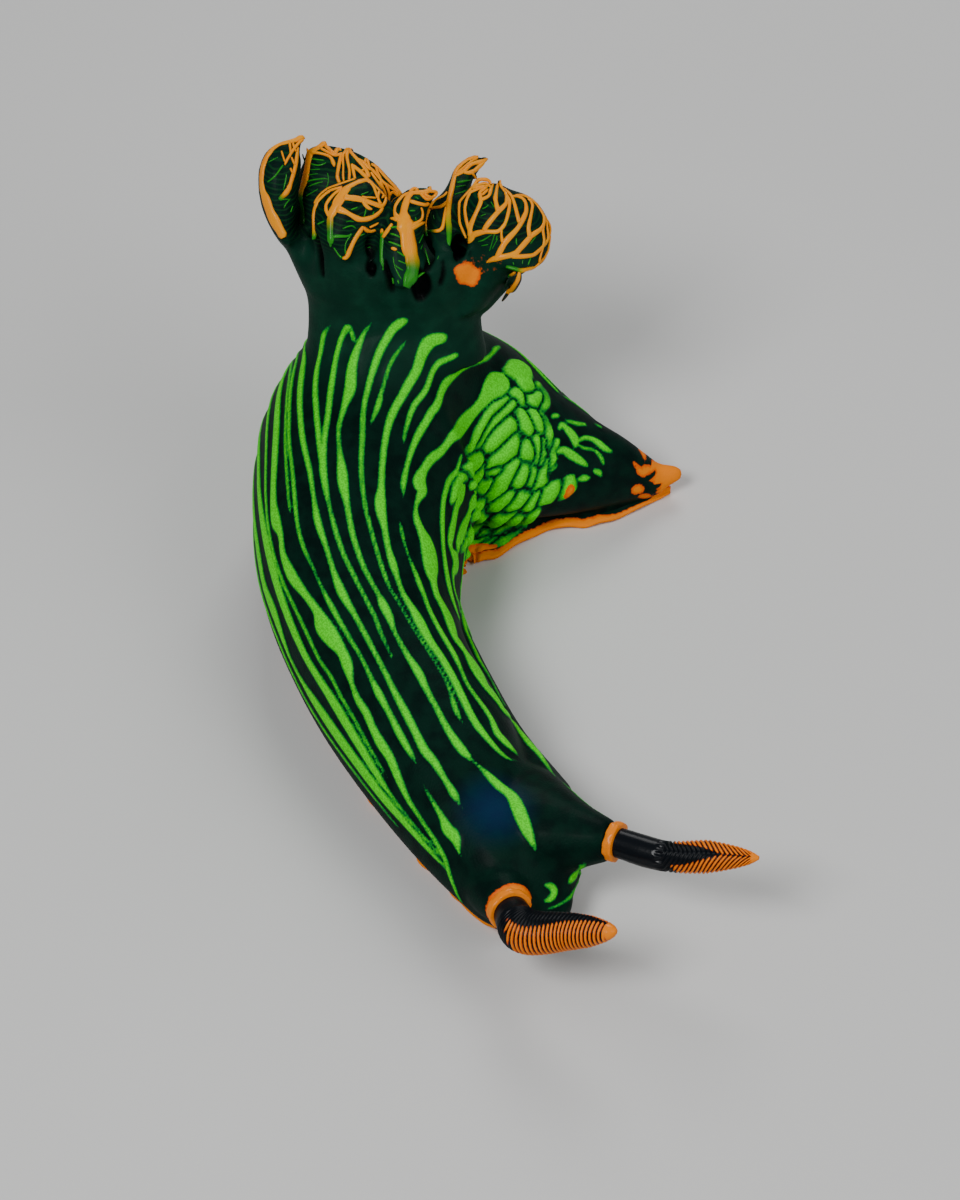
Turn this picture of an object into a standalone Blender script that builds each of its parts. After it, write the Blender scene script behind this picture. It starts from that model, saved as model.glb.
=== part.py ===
# Variable neon slug (Nembrotha kubaryana), life size, still, resting on its foot.
# Every size below is in millimetres, and MM turns it into Blender's metres.
# The head points to -Y, the body bends at the hump, the tail points to +X, and Z is up.

import math

import bmesh
import bpy
import numpy as np

MM = 0.001
GAP = 0.3

# name: x, y of the middle line, direction of the ring's normal towards the tail in degrees,
# half width of the body, height of the back, half width of the foot
STATIONS = {
    "snout": (14.7, -51.7, 128.0, 4.3, 6.0, 2.6),
    "horns": (12.6, -48.9, 127.0, 5.1, 8.2, 3.5),
    "nape": (9.5, -44.6, 124.0, 5.7, 9.9, 4.3),
    "neck": (5.4, -36.9, 117.0, 6.9, 12.0, 5.3),
    "shoulder": (-0.2, -24.9, 112.0, 7.6, 14.6, 6.2),
    "loin": (-1.9, -15.7, 98.0, 9.0, 17.6, 7.4),
    "side": (-1.9, -8.4, 84.6, 9.8, 20.0, 8.4),
    "knee": (-1.2, -3.8, 62.0, 10.6, 21.4, 9.4),
    "gill": (0.4, -0.2, 42.8, 10.5, 22.0, 9.8),
    "croup": (5.2, 2.6, 15.5, 9.6, 19.6, 9.6),
    "rump": (10.5, 2.4, -8.7, 8.0, 15.4, 9.2),
    "tail_root": (15.3, 2.2, -5.0, 6.0, 11.0, 5.0),
    "tail": (19.8, 2.1, -2.0, 3.9, 7.0, 4.1),
    "tail_end": (24.0, 2.4, 3.0, 1.9, 3.6, 2.5),
    "tip": (27.2, 2.8, 5.0, 1.1, 1.9, 1.1),
}
TABLE = np.array(list(STATIONS.values()))
KNOTS = np.concatenate([[0.0], np.cumsum(np.hypot(*np.diff(TABLE[:, :2], axis=0).T))])
LENGTH = KNOTS[-1]

# Lengths that the body is cut into, as distances from the snout
BODY_CUTS = {
    "head": (0.0, 8.0),
    "neck": (8.0, 20.0),
    "back_front": (20.0, 32.0),
    "back_middle": (32.0, 44.0),
    "hump": (44.0, 67.0),
    "tail_root": (67.0, 73.5),
    "tail_middle": (73.5, 79.0),
}
FOOT_CUTS = {
    "foot_front": (1.6, 20.0),
    "foot_middle": (20.0, 44.0),
    "foot_bend": (44.0, 67.0),
    "foot_tail": (67.0, 79.0),
}
TAIL_TIP_START = 79.0

AROUND = 48
RING_STEP = 1.6
SNOUT_ROUND = 4.5
TAIL_ROUND = 1.6
NOSE_HEIGHT = 3.1
WALL_LOW = 0.6
WALL_BOTTOM = 1.85
FOOT_TOP = 1.55
FOOT_EDGE = 0.6
FOOT_STEP = 1.2
MARGIN_WAVE = 0.03
MARGIN_LENGTH = 5.5
MIDDLE_SHARE = 0.42
TOP_FULLNESS = 2.1
LOW_FULLNESS = 2.4

# Raised stripes along the back and the folds on the inner side of the bend
STRIPE_RAISE = 0.14
FOLD_RAISE = 0.32
FOLD_LENGTH = 3.2

# The mound that carries the gill, and the gill's own axes
MOUND_FOOT = np.array([0.9, 2.0])
MOUND_RISE = 3.2
MOUND_INNER = 4.0
MOUND_OUTER = 9.0
GILL_UP = np.array([-0.03, 0.36, 0.93])
GILL_UP = GILL_UP / np.linalg.norm(GILL_UP)
GILL_RIGHT = np.array([1.0, 0.0, 0.0])
GILL_FRONT = np.cross(GILL_RIGHT, GILL_UP)
GILL_FOOT = np.array([1.3, 3.1, 24.6])
# height over the gill's foot, half width across, half width front to back: up the
# outside of the funnel, over its rim and down into its dish
GILL_BASE_RINGS = (
    (-4.0, 7.4, 5.0),
    (-1.6, 7.0, 4.8),
    (0.2, 7.1, 4.9),
    (2.0, 7.8, 5.4),
    (3.4, 8.6, 6.0),
    (3.9, 8.5, 5.9),
    (4.0, 8.1, 5.5),
    (3.3, 5.9, 3.6),
    (2.6, 4.4, 2.4),
)
GILL_RIM = 6
BASE_SIDES = 26

# name: fan centre (right, front, up from the gill's foot), bearing of its outer face from
# the front towards the right, radii (sideways, outwards, up), half spread of its veins,
# end of its veins round the fan, bearing and height of its palm's foot, number of veins
PLUMES = {
    "gill_plume_1": ((-8.2, -1.0, 9.2), -84.0, (3.4, 3.8, 4.8), 66.0, 152.0, -80.0, 1.6, 8),
    "gill_plume_2": ((-3.6, -4.6, 7.9), -165.0, (4.4, 2.6, 4.1), 74.0, 156.0, -142.0, 2.8, 12),
    "gill_plume_3": ((-4.1, 3.2, 8.8), -14.0, (3.5, 3.0, 3.5), 76.0, 144.0, -38.0, 2.8, 12),
    "gill_plume_4": ((1.9, 4.4, 8.2), 6.0, (2.2, 2.3, 3.6), 70.0, 140.0, 10.0, 2.4, 8),
    "gill_plume_5": ((6.2, -3.6, 7.7), 150.0, (2.4, 2.4, 4.2), 64.0, 150.0, 134.0, 2.8, 8),
    "gill_plume_6": ((9.7, 2.4, 7.3), 28.0, (4.1, 3.6, 4.0), 80.0, 142.0, 62.0, 0.6, 12),
}
STEM_START = 34.0
FORKS = (62.0, 90.0)
FORK_TURN = 24.0
VEIN_STEP = 20.0
VEIN_WIDTH = (0.95, 0.45)
VEIN_DEPTH = (1.5, 0.6)
BRANCH_SINK = 0.05
ROOT_SINK = 0.35
ROOT_SHARE = 0.6
PALM_FOOT = (2.7, 1.0)
PALM_SPREAD = 0.8
PALM_TURN = 44.0
PALM_INSET = 0.3
PALM_TOP_DEPTH = 0.6
PALM_SIDES = 14
PALM_STEPS = 5

PAPILLA_FOOT = (0.6, -1.2, 2.0)
PAPILLA_RADIUS = 0.9
PAPILLA_RISE = 2.4

# Each horn (rhinophore): the sheath's middle line from inside the head as x, y, z, radius
# and flatness, then collar, knee and tip, and the radii of the collar, stalk and club
HORNS = {
    "left": {
        "sheath": (
            (8.6, -42.2, 5.2, 6.3, 0.60),
            (11.7, -43.9, 5.9, 5.9, 0.66),
            (14.6, -45.6, 6.8, 4.2, 0.80),
            (17.0, -46.8, 7.5, 2.8, 0.90),
        ),
        "collar": (19.7, -48.0, 8.3),
        "knee": (23.6, -50.1, 8.9),
        "tip": (31.3, -52.4, 11.2),
        "radii": (1.95, 1.45, 1.7),
    },
    "right": {
        "sheath": (
            (9.9, -49.6, 4.8, 2.9, 0.80),
            (10.2, -50.8, 5.2, 2.7, 0.88),
            (10.5, -52.0, 5.6, 2.3, 0.95),
        ),
        "collar": (10.9, -53.5, 6.1),
        "knee": (12.3, -56.6, 6.9),
        "tip": (19.5, -59.8, 10.6),
        "radii": (1.95, 1.5, 1.95),
    },
}
COLLAR_LENGTH = 0.9
HORN_SIDES = 16
HORN_STEPS = 84
STALK_STEPS = 28
CLUB_FLAT = 0.8
LAMELLA_GROOVE = 0.2
LAMELLA_SLANT = 0.5

# The lips: two soft rolls round the front of the head, with the mouth's line between
LIP_RADIUS = 0.5
LIP_SPACING = 0.85
LIP_REACH = 0.55

# Oral tentacles: foot inside the head and tip, from the snout's middle, and their radius
ORAL_LOBES = {
    "left": ((14.0, -47.6, 3.2), (17.1, -49.4, 2.7), 1.3),
    "right": ((11.2, -50.2, 3.2), (10.6, -53.3, 2.7), 1.4),
}

COLOURS = {
    "skin": (0.010, 0.055, 0.035),
    "foot": (0.900, 0.270, 0.010),
    "horn": (0.008, 0.010, 0.016),
    "collar": (0.950, 0.300, 0.010),
    "gill_base": (0.006, 0.030, 0.026),
    "plume": (0.850, 0.260, 0.010),
}


def unit(vector):
    """The vector at length 1."""
    vector = np.asarray(vector, float)
    return vector / np.linalg.norm(vector, axis=-1, keepdims=True)


def smooth_step(value):
    """0 below 0, 1 above 1 and an even S curve between them."""
    value = np.clip(value, 0.0, 1.0)
    return value * value * (3.0 - 2.0 * value)


def stations_at(s):
    """The station table's columns at s mm from the snout, joined by smooth cubics."""
    s = np.clip(np.asarray(s, float), 0.0, LENGTH)
    slope = np.gradient(TABLE, KNOTS, axis=0)
    i = np.clip(np.searchsorted(KNOTS, s, side="right") - 1, 0, len(KNOTS) - 2)
    step = (KNOTS[i + 1] - KNOTS[i])[..., None]
    t = (s - KNOTS[i])[..., None] / step
    value = (2 * t**3 - 3 * t**2 + 1) * TABLE[i]
    value = value + (t**3 - 2 * t**2 + t) * slope[i] * step
    value = value + (3 * t**2 - 2 * t**3) * TABLE[i + 1]
    value = value + (t**3 - t**2) * slope[i + 1] * step
    return np.moveaxis(value, -1, 0)


def rounding(s):
    """Share of the full section left at s: quarter circles close the snout and the tail."""
    front = np.clip(1.0 - s / SNOUT_ROUND, 0.0, 1.0)
    back = np.clip(1.0 - (LENGTH - s) / TAIL_ROUND, 0.0, 1.0)
    return np.sqrt((1.0 - front**2) * (1.0 - back**2)) + 1e-3


def relief(s, phi):
    """Height of the skin's relief: raised stripes, and beaded folds inside the bend."""
    stripes = smooth_step((s - 9.0) / 5.0) * smooth_step((66.0 - s) / 6.0)
    stripes = stripes * smooth_step((112.0 - np.abs(phi)) / 14.0)
    inner = smooth_step((s - 46.0) / 5.0) * smooth_step((75.0 - s) / 4.0)
    inner = inner * smooth_step((-phi - 28.0) / 16.0) * smooth_step((128.0 + phi) / 14.0)
    crest = np.cos(np.radians(phi * 24.0))
    beads = np.cos(2 * np.pi * s / FOLD_LENGTH + 0.5 * np.pi * (1.0 + crest))
    return STRIPE_RAISE * stripes * (1.0 - inner) * crest + FOLD_RAISE * inner * beads


def wall(s, phi, grow=0.0):
    """The body wall: s mm from the snout, phi degrees from the top, + on the outer side."""
    s, phi = np.broadcast_arrays(np.asarray(s, float), np.asarray(phi, float))
    x, y, facing, half, height, _ = stations_at(s)
    share = rounding(s)
    half = half * share + grow
    top = NOSE_HEIGHT + (height - NOSE_HEIGHT) * share + grow
    low = NOSE_HEIGHT - (NOSE_HEIGHT - WALL_LOW) * share - grow
    middle = low + MIDDLE_SHARE * (top - low)
    across, up = np.sin(np.radians(phi)), np.cos(np.radians(phi))
    power = np.where(up > 0, 2.0 / TOP_FULLNESS, 2.0 / LOW_FULLNESS)
    reach = np.where(up > 0, top - middle, middle - low)
    raised = relief(s, phi)
    side = (half * np.abs(across) ** power) * np.sign(across) + raised * across
    z = middle + reach * np.sign(up) * np.abs(up) ** power + raised * up
    z = np.maximum(z, WALL_BOTTOM - grow)
    turn = np.radians(facing)
    points = np.stack([x - np.sin(turn) * side, y + np.cos(turn) * side, z], -1)
    away = np.hypot(points[..., 0] - MOUND_FOOT[0], points[..., 1] - MOUND_FOOT[1])
    rise = MOUND_RISE * smooth_step((MOUND_OUTER - away) / (MOUND_OUTER - MOUND_INNER))
    rise = rise * smooth_step((z - middle) / (top - middle + 1e-6) * 1.4)
    return points + rise[..., None] * GILL_UP


def foot_section(s):
    """One ring of the foot: a flat sole, a thin flared margin and a flat top."""
    x, y, facing, half, _, foot = stations_at(s)
    share = math.sqrt(max(1.0 - max(1.0 - (s - FOOT_CUTS["foot_front"][0]) / 2.6, 0.0) ** 2, 0.02))
    edge = foot * share * (1.0 + MARGIN_WAVE * math.sin(2 * math.pi * s / MARGIN_LENGTH))
    lip = min(1.4, 0.3 * edge)
    shelf = max(min(0.66 * half, edge - lip - 0.4), 0.3 * edge)
    outline = (
        (edge - 0.35, 0.0),
        (edge, 0.22),
        (edge - 0.05, FOOT_EDGE),
        (edge - lip, FOOT_EDGE + 0.25),
        (shelf, FOOT_TOP),
        (-shelf, FOOT_TOP),
        (lip - edge, FOOT_EDGE + 0.25),
        (0.05 - edge, FOOT_EDGE),
        (-edge, 0.22),
        (0.35 - edge, 0.0),
    )
    side, z = np.array(outline).T
    turn = math.radians(facing)
    return np.stack([x - math.sin(turn) * side, y + math.cos(turn) * side, z], -1)


def shifted(ring, s, distance):
    """The ring moved along its plane's normal, so that two cut faces stay parallel."""
    turn = math.radians(float(stations_at(s)[2]))
    return ring + distance * np.array([math.cos(turn), math.sin(turn), 0.0])


def material(name, colour, roughness):
    """A Principled material of one colour."""
    made = bpy.data.materials.new(name)
    made.use_nodes = True
    shader = made.node_tree.nodes["Principled BSDF"]
    shader.inputs["Base Color"].default_value = (*colour, 1.0)
    shader.inputs["Roughness"].default_value = roughness
    shader.inputs["Metallic"].default_value = 0.0
    return made


def solid(name, points, faces):
    """A mesh object from points in millimetres and faces, its normals turned outwards."""
    mesh = bpy.data.meshes.new(name)
    mesh.from_pydata([tuple(point) for point in np.asarray(points) * MM], [], faces)
    made = bpy.data.objects.new(name, mesh)
    bpy.context.scene.collection.objects.link(made)
    sheet = bmesh.new()
    sheet.from_mesh(mesh)
    bmesh.ops.recalc_face_normals(sheet, faces=sheet.faces)
    sheet.to_mesh(mesh)
    sheet.free()
    return made


def loft(name, rings, band_end=False):
    """A closed solid through rings of equal count, with a face at each end.

    band_end closes a last ring that is bent like a band with a row of small faces.
    """
    count = len(rings[0])
    faces = []
    for i in range(len(rings) - 1):
        for j in range(count):
            k = (j + 1) % count
            faces.append((i * count + j, i * count + k, (i + 1) * count + k, (i + 1) * count + j))
    faces.append(tuple(range(count))[::-1])
    last = (len(rings) - 1) * count
    if band_end:
        for j in range(count // 2):
            far = [last + (count - j) % count, last + count - j - 1]
            corners = [last + j, last + j + 1, far[1], far[0]]
            faces.append(tuple(dict.fromkeys(corners)))
    else:
        faces.append(tuple(range(last, last + count)))
    return solid(name, np.concatenate(rings), faces)


def finish(made, colour, roughness=0.4):
    """Give a finished node its own material and smooth shading."""
    made.data.materials.clear()
    made.data.materials.append(material(made.name, COLOURS[colour], roughness))
    for face in made.data.polygons:
        face.use_smooth = True
    return made


def keep_largest(mesh):
    """Drop every closed surface but the largest, counting only faces that share edges."""
    sheet = bmesh.new()
    sheet.from_mesh(mesh)
    unseen = set(sheet.faces)
    groups = []
    while unseen:
        group = set()
        stack = [next(iter(unseen))]
        while stack:
            face = stack.pop()
            if face in group:
                continue
            group.add(face)
            stack.extend(near for edge in face.edges for near in edge.link_faces)
        unseen -= group
        groups.append(group)
    areas = [sum(face.calc_area() for face in group) for group in groups]
    kept = groups[int(np.argmax(areas))]
    spare = [face for face in sheet.faces if face not in kept]
    bmesh.ops.delete(sheet, geom=spare, context="FACES")
    sheet.to_mesh(mesh)
    sheet.free()


def join(base, tools, operation="UNION", solver="EXACT"):
    """One Boolean on a collection of closed solids, applied, with the solids removed."""
    group = bpy.data.collections.new(base.name + "_tools")
    bpy.context.scene.collection.children.link(group)
    for tool in tools:
        bpy.context.scene.collection.objects.unlink(tool)
        group.objects.link(tool)
    step = base.modifiers.new("join", "BOOLEAN")
    step.operation = operation
    step.operand_type = "COLLECTION"
    step.collection = group
    step.solver = solver
    bpy.context.view_layer.update()
    graph = bpy.context.evaluated_depsgraph_get()
    mesh = bpy.data.meshes.new_from_object(base.evaluated_get(graph))
    base.modifiers.clear()
    base.data = mesh
    for tool in list(group.objects):
        bpy.data.objects.remove(tool)
    bpy.data.collections.remove(group)
    keep_largest(mesh)
    return base


def cut_positions(start, end, step=RING_STEP):
    """Distances from the snout for the rings between two cuts, closer at the snout."""
    if start == 0.0:
        turns = np.radians([11.0, 26.0, 42.0, 58.0, 74.0, 90.0])
        early = SNOUT_ROUND * (1.0 - np.cos(turns))
        later = np.linspace(SNOUT_ROUND, end, 4)[1:]
        return np.concatenate([early, later])
    return np.linspace(start, end, max(int(round((end - start) / step)), 2) + 1)


def wall_rings(start, end, grow=0.0):
    """Rings of the body wall between two cuts, each end half a gap inside its cut."""
    phi = np.arange(AROUND) * 360.0 / AROUND
    phi = np.where(phi > 180.0, phi - 360.0, phi)
    stops = cut_positions(start, end)
    rings = [wall(np.full(AROUND, s), phi, grow) for s in stops]
    if start > 0.0:
        rings[0] = shifted(rings[0], start, 0.5 * GAP)
    rings[-1] = shifted(rings[-1], end, -0.5 * GAP)
    return rings


def body_lengths():
    """The body wall, parted at its cuts into named lengths, with the lips on the head."""
    for name, (start, end) in BODY_CUTS.items():
        made = loft(name, wall_rings(start, end))
        if name == "head":
            join(made, lips())
        finish(made, "skin")


def foot_lengths():
    """The foot under the body: four lengths on one flat sole."""
    for name, (start, end) in FOOT_CUTS.items():
        stops = np.linspace(start, end, int(round((end - start) / FOOT_STEP)) + 1)
        rings = [foot_section(float(s)) for s in stops]
        if name != "foot_front":
            rings[0] = shifted(rings[0], start, 0.5 * GAP)
        rings[-1] = shifted(rings[-1], end, -0.5 * GAP)
        finish(loft(name, rings), "foot")


def tail_tip():
    """The last of the tail, where wall and foot are one, on the sole's level."""
    rings = []
    for s in np.linspace(TAIL_TIP_START, LENGTH, 7):
        x, y, facing, half, height, foot = stations_at(s)
        share = float(rounding(min(s, LENGTH - 0.1)))
        low, wide = foot * share, half * share
        top = 0.5 * height + (0.5 * height) * share
        outline = [(low - 0.25 * share, 0.0), (low, 0.25), (low - 0.1 * share, FOOT_EDGE * share + 0.1)]
        for turn in (18, 40, 62, 90, 118, 140, 162):
            angle = math.radians(turn)
            outline.append((wide * math.cos(angle), FOOT_EDGE + (top - FOOT_EDGE) * math.sin(angle)))
        outline += [(0.1 * share - low, FOOT_EDGE * share + 0.1), (-low, 0.25), (0.25 * share - low, 0.0)]
        side, z = np.array(outline).T
        turn = math.radians(facing)
        rings.append(np.stack([x - math.sin(turn) * side, y + math.cos(turn) * side, z], -1))
    rings[0] = shifted(rings[0], TAIL_TIP_START, 0.5 * GAP)
    finish(loft("tail_tip", rings), "skin")


def tube_rings(path, radii, sides=HORN_SIDES, flat=1.0):
    """Round rings square to a path, flattened in the direction nearest to Z.

    flat is one share for all the rings, or a share for each.
    """
    path = np.asarray(path, float)
    along = unit(np.gradient(path, axis=0))
    level = unit(np.cross(along, (0.0, 0.0, 1.0)))
    lift = np.cross(level, along)
    angle = np.arange(sides) * 2 * np.pi / sides
    rings = []
    flat = np.broadcast_to(flat, len(path))
    for point, across, up, radius, share in zip(path, level, lift, radii, flat):
        ring = np.outer(np.cos(angle), across) + share * np.outer(np.sin(angle), up)
        rings.append(point + radius * ring)
    return rings


def bent_path(points, count):
    """A smooth curve through a few points (Catmull-Rom), count points in all."""
    points = np.asarray(points, float)
    ends = np.vstack([2 * points[0] - points[1], points, 2 * points[-1] - points[-2]])
    at = np.linspace(0, len(points) - 1 - 1e-9, count)
    i = at.astype(int)
    t = (at - i)[:, None]
    a, b, c, d = ends[i], ends[i + 1], ends[i + 2], ends[i + 3]
    return 0.5 * (2 * b + (c - a) * t + (2 * a - 5 * b + 4 * c - d) * t**2 + (3 * b - a - 3 * c + d) * t**3)


def head_cutter(name):
    """The head and neck grown by the gap, to seat what grows from the head."""
    phi = np.arange(AROUND) * 360.0 / AROUND
    phi = np.where(phi > 180.0, phi - 360.0, phi)
    stops = np.concatenate([cut_positions(0.0, 8.0), np.linspace(10.0, 20.0, 6)])
    return loft(name, [wall(np.full(AROUND, s), phi, GAP) for s in stops])


def horns():
    """Sheath, collar, stalk and club of each rhinophore, face to face."""
    for side, horn in HORNS.items():
        collar, knee, tip = (np.array(horn[key]) for key in ("collar", "knee", "tip"))
        collar_radius, stalk_radius, club_radius = horn["radii"]
        aim = unit(knee - collar)
        start = collar - aim * (0.5 * COLLAR_LENGTH + GAP)
        knots = np.array([*horn["sheath"], (*start, 0.97 * collar_radius, 1.0)])
        line = bent_path(knots, 3 * len(knots) - 2)
        rings = tube_rings(line[:, :3], line[:, 3], flat=line[:, 4])
        rings[-1] = tube_rings([start - aim, start], [0.97 * collar_radius] * 2)[-1]
        sheath = loft(f"rhinophore_sheath_{side}", rings)
        join(sheath, [head_cutter("cutter")], "DIFFERENCE")
        finish(sheath, "horn")
        half = 0.5 * COLLAR_LENGTH * aim
        band = [collar - half, collar - 0.6 * half, collar + 0.6 * half, collar + half]
        band_radii = [collar_radius * share for share in (0.94, 1.04, 1.04, 0.9)]
        finish(loft(f"rhinophore_collar_{side}", tube_rings(band, band_radii)), "collar")
        foot = collar + half + GAP * aim
        line = bent_path([foot, knee, knee + 0.5 * (tip - knee), tip], HORN_STEPS + 1)
        stalk = loft(f"rhinophore_stalk_{side}",
                     tube_rings(line, [stalk_radius] * len(line))[:STALK_STEPS + 1:7])
        finish(stalk, "horn")
        club = loft(f"rhinophore_club_{side}", club_rings(line, club_radius))
        finish(club, "collar")


def club_rings(line, radius):
    """Rings of a club: slanted ridges and grooves in turn, between a flat foot and a tip."""
    share = np.clip((np.arange(len(line)) - STALK_STEPS) / (HORN_STEPS - STALK_STEPS), 0.0, 1.0)
    shape = np.interp(share, (0.0, 0.2, 0.5, 0.8, 0.95, 1.0), (0.8, 1.0, 0.97, 0.7, 0.4, 0.2))
    ridged = smooth_step(share / 0.1) * smooth_step((1.0 - share) / 0.1)
    groove = (np.arange(len(line)) // 2 % 2) * LAMELLA_GROOVE * ridged
    rings = tube_rings(line, radius * shape * (1.0 - groove), flat=CLUB_FLAT)
    along = unit(np.gradient(line, axis=0))
    tilt = np.abs(np.cos(np.arange(HORN_SIDES) * 2 * np.pi / HORN_SIDES))
    slant = LAMELLA_SLANT * smooth_step(share / 0.2) * smooth_step((1.0 - share) / 0.15)
    rings = [ring + np.outer(tilt * lean, way) for ring, lean, way in zip(rings, slant, along)]
    rings = rings[STALK_STEPS::2]
    rings[0] = rings[0] + GAP * along[STALK_STEPS]
    return rings


def lips():
    """Two rolls round the front of the head, one above and one below the mouth's line."""
    reach = np.linspace(-1.0, 1.0, 13)
    s = 0.15 + LIP_REACH * np.abs(reach) ** 1.6
    arc = wall(s, 90.0 * np.sign(reach + 1e-9))
    arc[6] = 0.5 * (arc[5] + arc[7]) + (arc[6] - 0.5 * (arc[5] + arc[7])) * (1, 1, 0)
    radii = LIP_RADIUS * (1.0 - 0.6 * np.abs(reach) ** 3)
    made = []
    for name, side in (("upper_lip", 0.5), ("lower_lip", -0.5)):
        path = arc + (0.0, 0.0, side * LIP_SPACING)
        made.append(loft(name, tube_rings(path, radii, 8)))
    return made


def oral_lobes():
    """The two short oral tentacles beside the mouth."""
    for side, (foot, tip, radius) in ORAL_LOBES.items():
        path = np.linspace(foot, tip, 7)
        radii = radius * np.array([0.9, 1.0, 1.0, 0.95, 0.8, 0.55, 0.2])
        lobe = loft(f"oral_tentacle_{side}", tube_rings(path, radii, 12, 0.7))
        join(lobe, [head_cutter("cutter")], "DIFFERENCE")
        finish(lobe, "skin")


def gill_point(right, front, up):
    """A point in the gill's own axes, from the middle of its foot."""
    return GILL_FOOT + right * GILL_RIGHT + front * GILL_FRONT + up * GILL_UP


def base_rings(grow=0.0):
    """Elliptical rings of the fused gill base, its skin moved out by grow."""
    angle = np.arange(BASE_SIDES) * 2 * np.pi / BASE_SIDES
    rings = []
    for index, (up, wide, deep) in enumerate(GILL_BASE_RINGS):
        out = grow if index <= GILL_RIM else -grow
        ring = np.outer((wide + out) * np.sin(angle), GILL_RIGHT)
        ring = ring + np.outer((deep + out) * np.cos(angle), GILL_FRONT)
        rings.append(gill_point(0, 0, up + grow) + ring)
    return rings


def gill_base():
    """The fused foot of the gill, seated on the mound of the hump."""
    base = loft("gill_base", base_rings())
    phi = np.arange(AROUND) * 360.0 / AROUND
    phi = np.where(phi > 180.0, phi - 360.0, phi)
    stops = cut_positions(46.0, 66.0)
    seat = loft("seat", [wall(np.full(AROUND, s), phi, GAP) for s in stops])
    join(base, [seat], "DIFFERENCE")
    finish(base, "gill_base")


def fan_point(plume, spread, turn):
    """A point on a plume's cupped fan: spread round it, turn from its foot over its top."""
    (right, front, up), bearing, (wide, deep, tall) = plume[:3]
    heading = math.radians(bearing)
    outward = math.sin(heading) * GILL_RIGHT + math.cos(heading) * GILL_FRONT
    sideways = np.cross(GILL_UP, outward)
    spread, turn = np.radians(spread), np.radians(turn)
    point = np.multiply.outer(np.sin(turn) * np.sin(spread) * wide, sideways)
    point = point + np.multiply.outer(np.sin(turn) * np.cos(spread) * deep, outward)
    point = point - np.multiply.outer(np.cos(turn) * tall, GILL_UP)
    return gill_point(right, front, up) + point


def blade(name, path, outward, widths, depths):
    """A closed strip of four sides: its broad edge outside, its narrow edge inside."""
    along = unit(np.gradient(path, axis=0))
    across = unit(np.cross(along, outward))
    inward = unit(np.cross(across, along))
    inward = inward * np.sign(-np.sum(inward * outward, -1, keepdims=True))
    rings = []
    for point, side, depth, wide, deep in zip(path, across, inward, widths, depths):
        outer_left, outer_right = point - 0.5 * wide * side, point + 0.5 * wide * side
        inner = point + deep * depth
        rings.append(np.array([outer_left, outer_right, inner + 0.3 * wide * side, inner - 0.3 * wide * side]))
    return loft(name, rings)


def vein_spread(index, turn, half_spread, count):
    """Where a vein lies round the fan: with its group of four, then two, then alone."""
    place = (np.arange(count) + 0.5) * 2 * half_spread / count - half_spread
    stem = place[index // 4 * 4:][:4].mean()
    pair = place[index // 2 * 2:][:2].mean()
    first = smooth_step((turn - FORKS[0]) / FORK_TURN)
    second = smooth_step((turn - FORKS[1]) / FORK_TURN)
    return stem + (pair - stem) * first + (place[index] - pair) * second


def palm_rings(plume):
    """The broad trunk of a plume: from the base out to a curved band under its veins."""
    centre, _, _, half_spread, _, foot_bearing, height, _ = plume
    angle = math.radians(foot_bearing)
    _, rim_wide, rim_deep = GILL_BASE_RINGS[GILL_RIM]
    inset = PALM_FOOT[1] + 0.3
    foot = gill_point(math.sin(angle) * (rim_wide - inset), math.cos(angle) * (rim_deep - inset), height)
    foot_side = math.cos(angle) * rim_wide * GILL_RIGHT - math.sin(angle) * rim_deep * GILL_FRONT
    foot_side = unit(foot_side)
    foot_out = np.cross(foot_side, GILL_UP)
    turns = np.arange(PALM_SIDES) * 2 * np.pi / PALM_SIDES
    across, through = np.cos(turns), np.sin(turns)
    top = fan_point(plume, across * half_spread * PALM_SPREAD, PALM_TURN)
    away = unit(top - gill_point(*centre))
    top = top - away * (PALM_INSET + PALM_TOP_DEPTH * (1.0 + through))[:, None]
    same_way = np.sign((top[0] - top[PALM_SIDES // 2]) @ foot_side)
    ring = foot + np.outer(across * same_way * PALM_FOOT[0], foot_side)
    ring = ring - np.outer(through * PALM_FOOT[1], foot_out)
    return [ring + share * (top - ring) for share in np.linspace(0.0, 1.0, PALM_STEPS)]


def plumes():
    """Each gill plume: a broad palm with forking veins that curl in over its cupped fan."""
    for name, plume in PLUMES.items():
        centre, _, _, half_spread, end, _, _, count = plume
        palm = loft(name, palm_rings(plume), band_end=True)
        veins = []
        for index in range(count):
            start = STEM_START if index % 4 == 0 else FORKS[0] if index % 2 == 0 else FORKS[1]
            stop = end + 7.0 * math.sin(2.4 * index)
            turn = np.linspace(start - 4.0, stop, 1 + int(math.ceil((stop - start) / VEIN_STEP)))
            path = fan_point(plume, vein_spread(index, turn, half_spread, count), turn)
            outward = unit(path - gill_point(*centre))
            path = path - outward * BRANCH_SINK * (index % 4)
            share = (turn - STEM_START) / (end - STEM_START)
            widths = VEIN_WIDTH[0] + (VEIN_WIDTH[1] - VEIN_WIDTH[0]) * share - BRANCH_SINK * (index % 4)
            depths = VEIN_DEPTH[0] + (VEIN_DEPTH[1] - VEIN_DEPTH[0]) * share
            if index % 4:
                path[0] = path[0] - outward[0] * ROOT_SINK
                widths[0] = widths[0] * ROOT_SHARE
                depths[0] = depths[0] * ROOT_SHARE
            veins.append(blade(f"vein_{index}", path, outward, widths, depths))
        join(palm, veins)
        seat = loft("seat", base_rings(GAP))
        join(palm, [seat], "DIFFERENCE")
        finish(palm, "plume")


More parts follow.
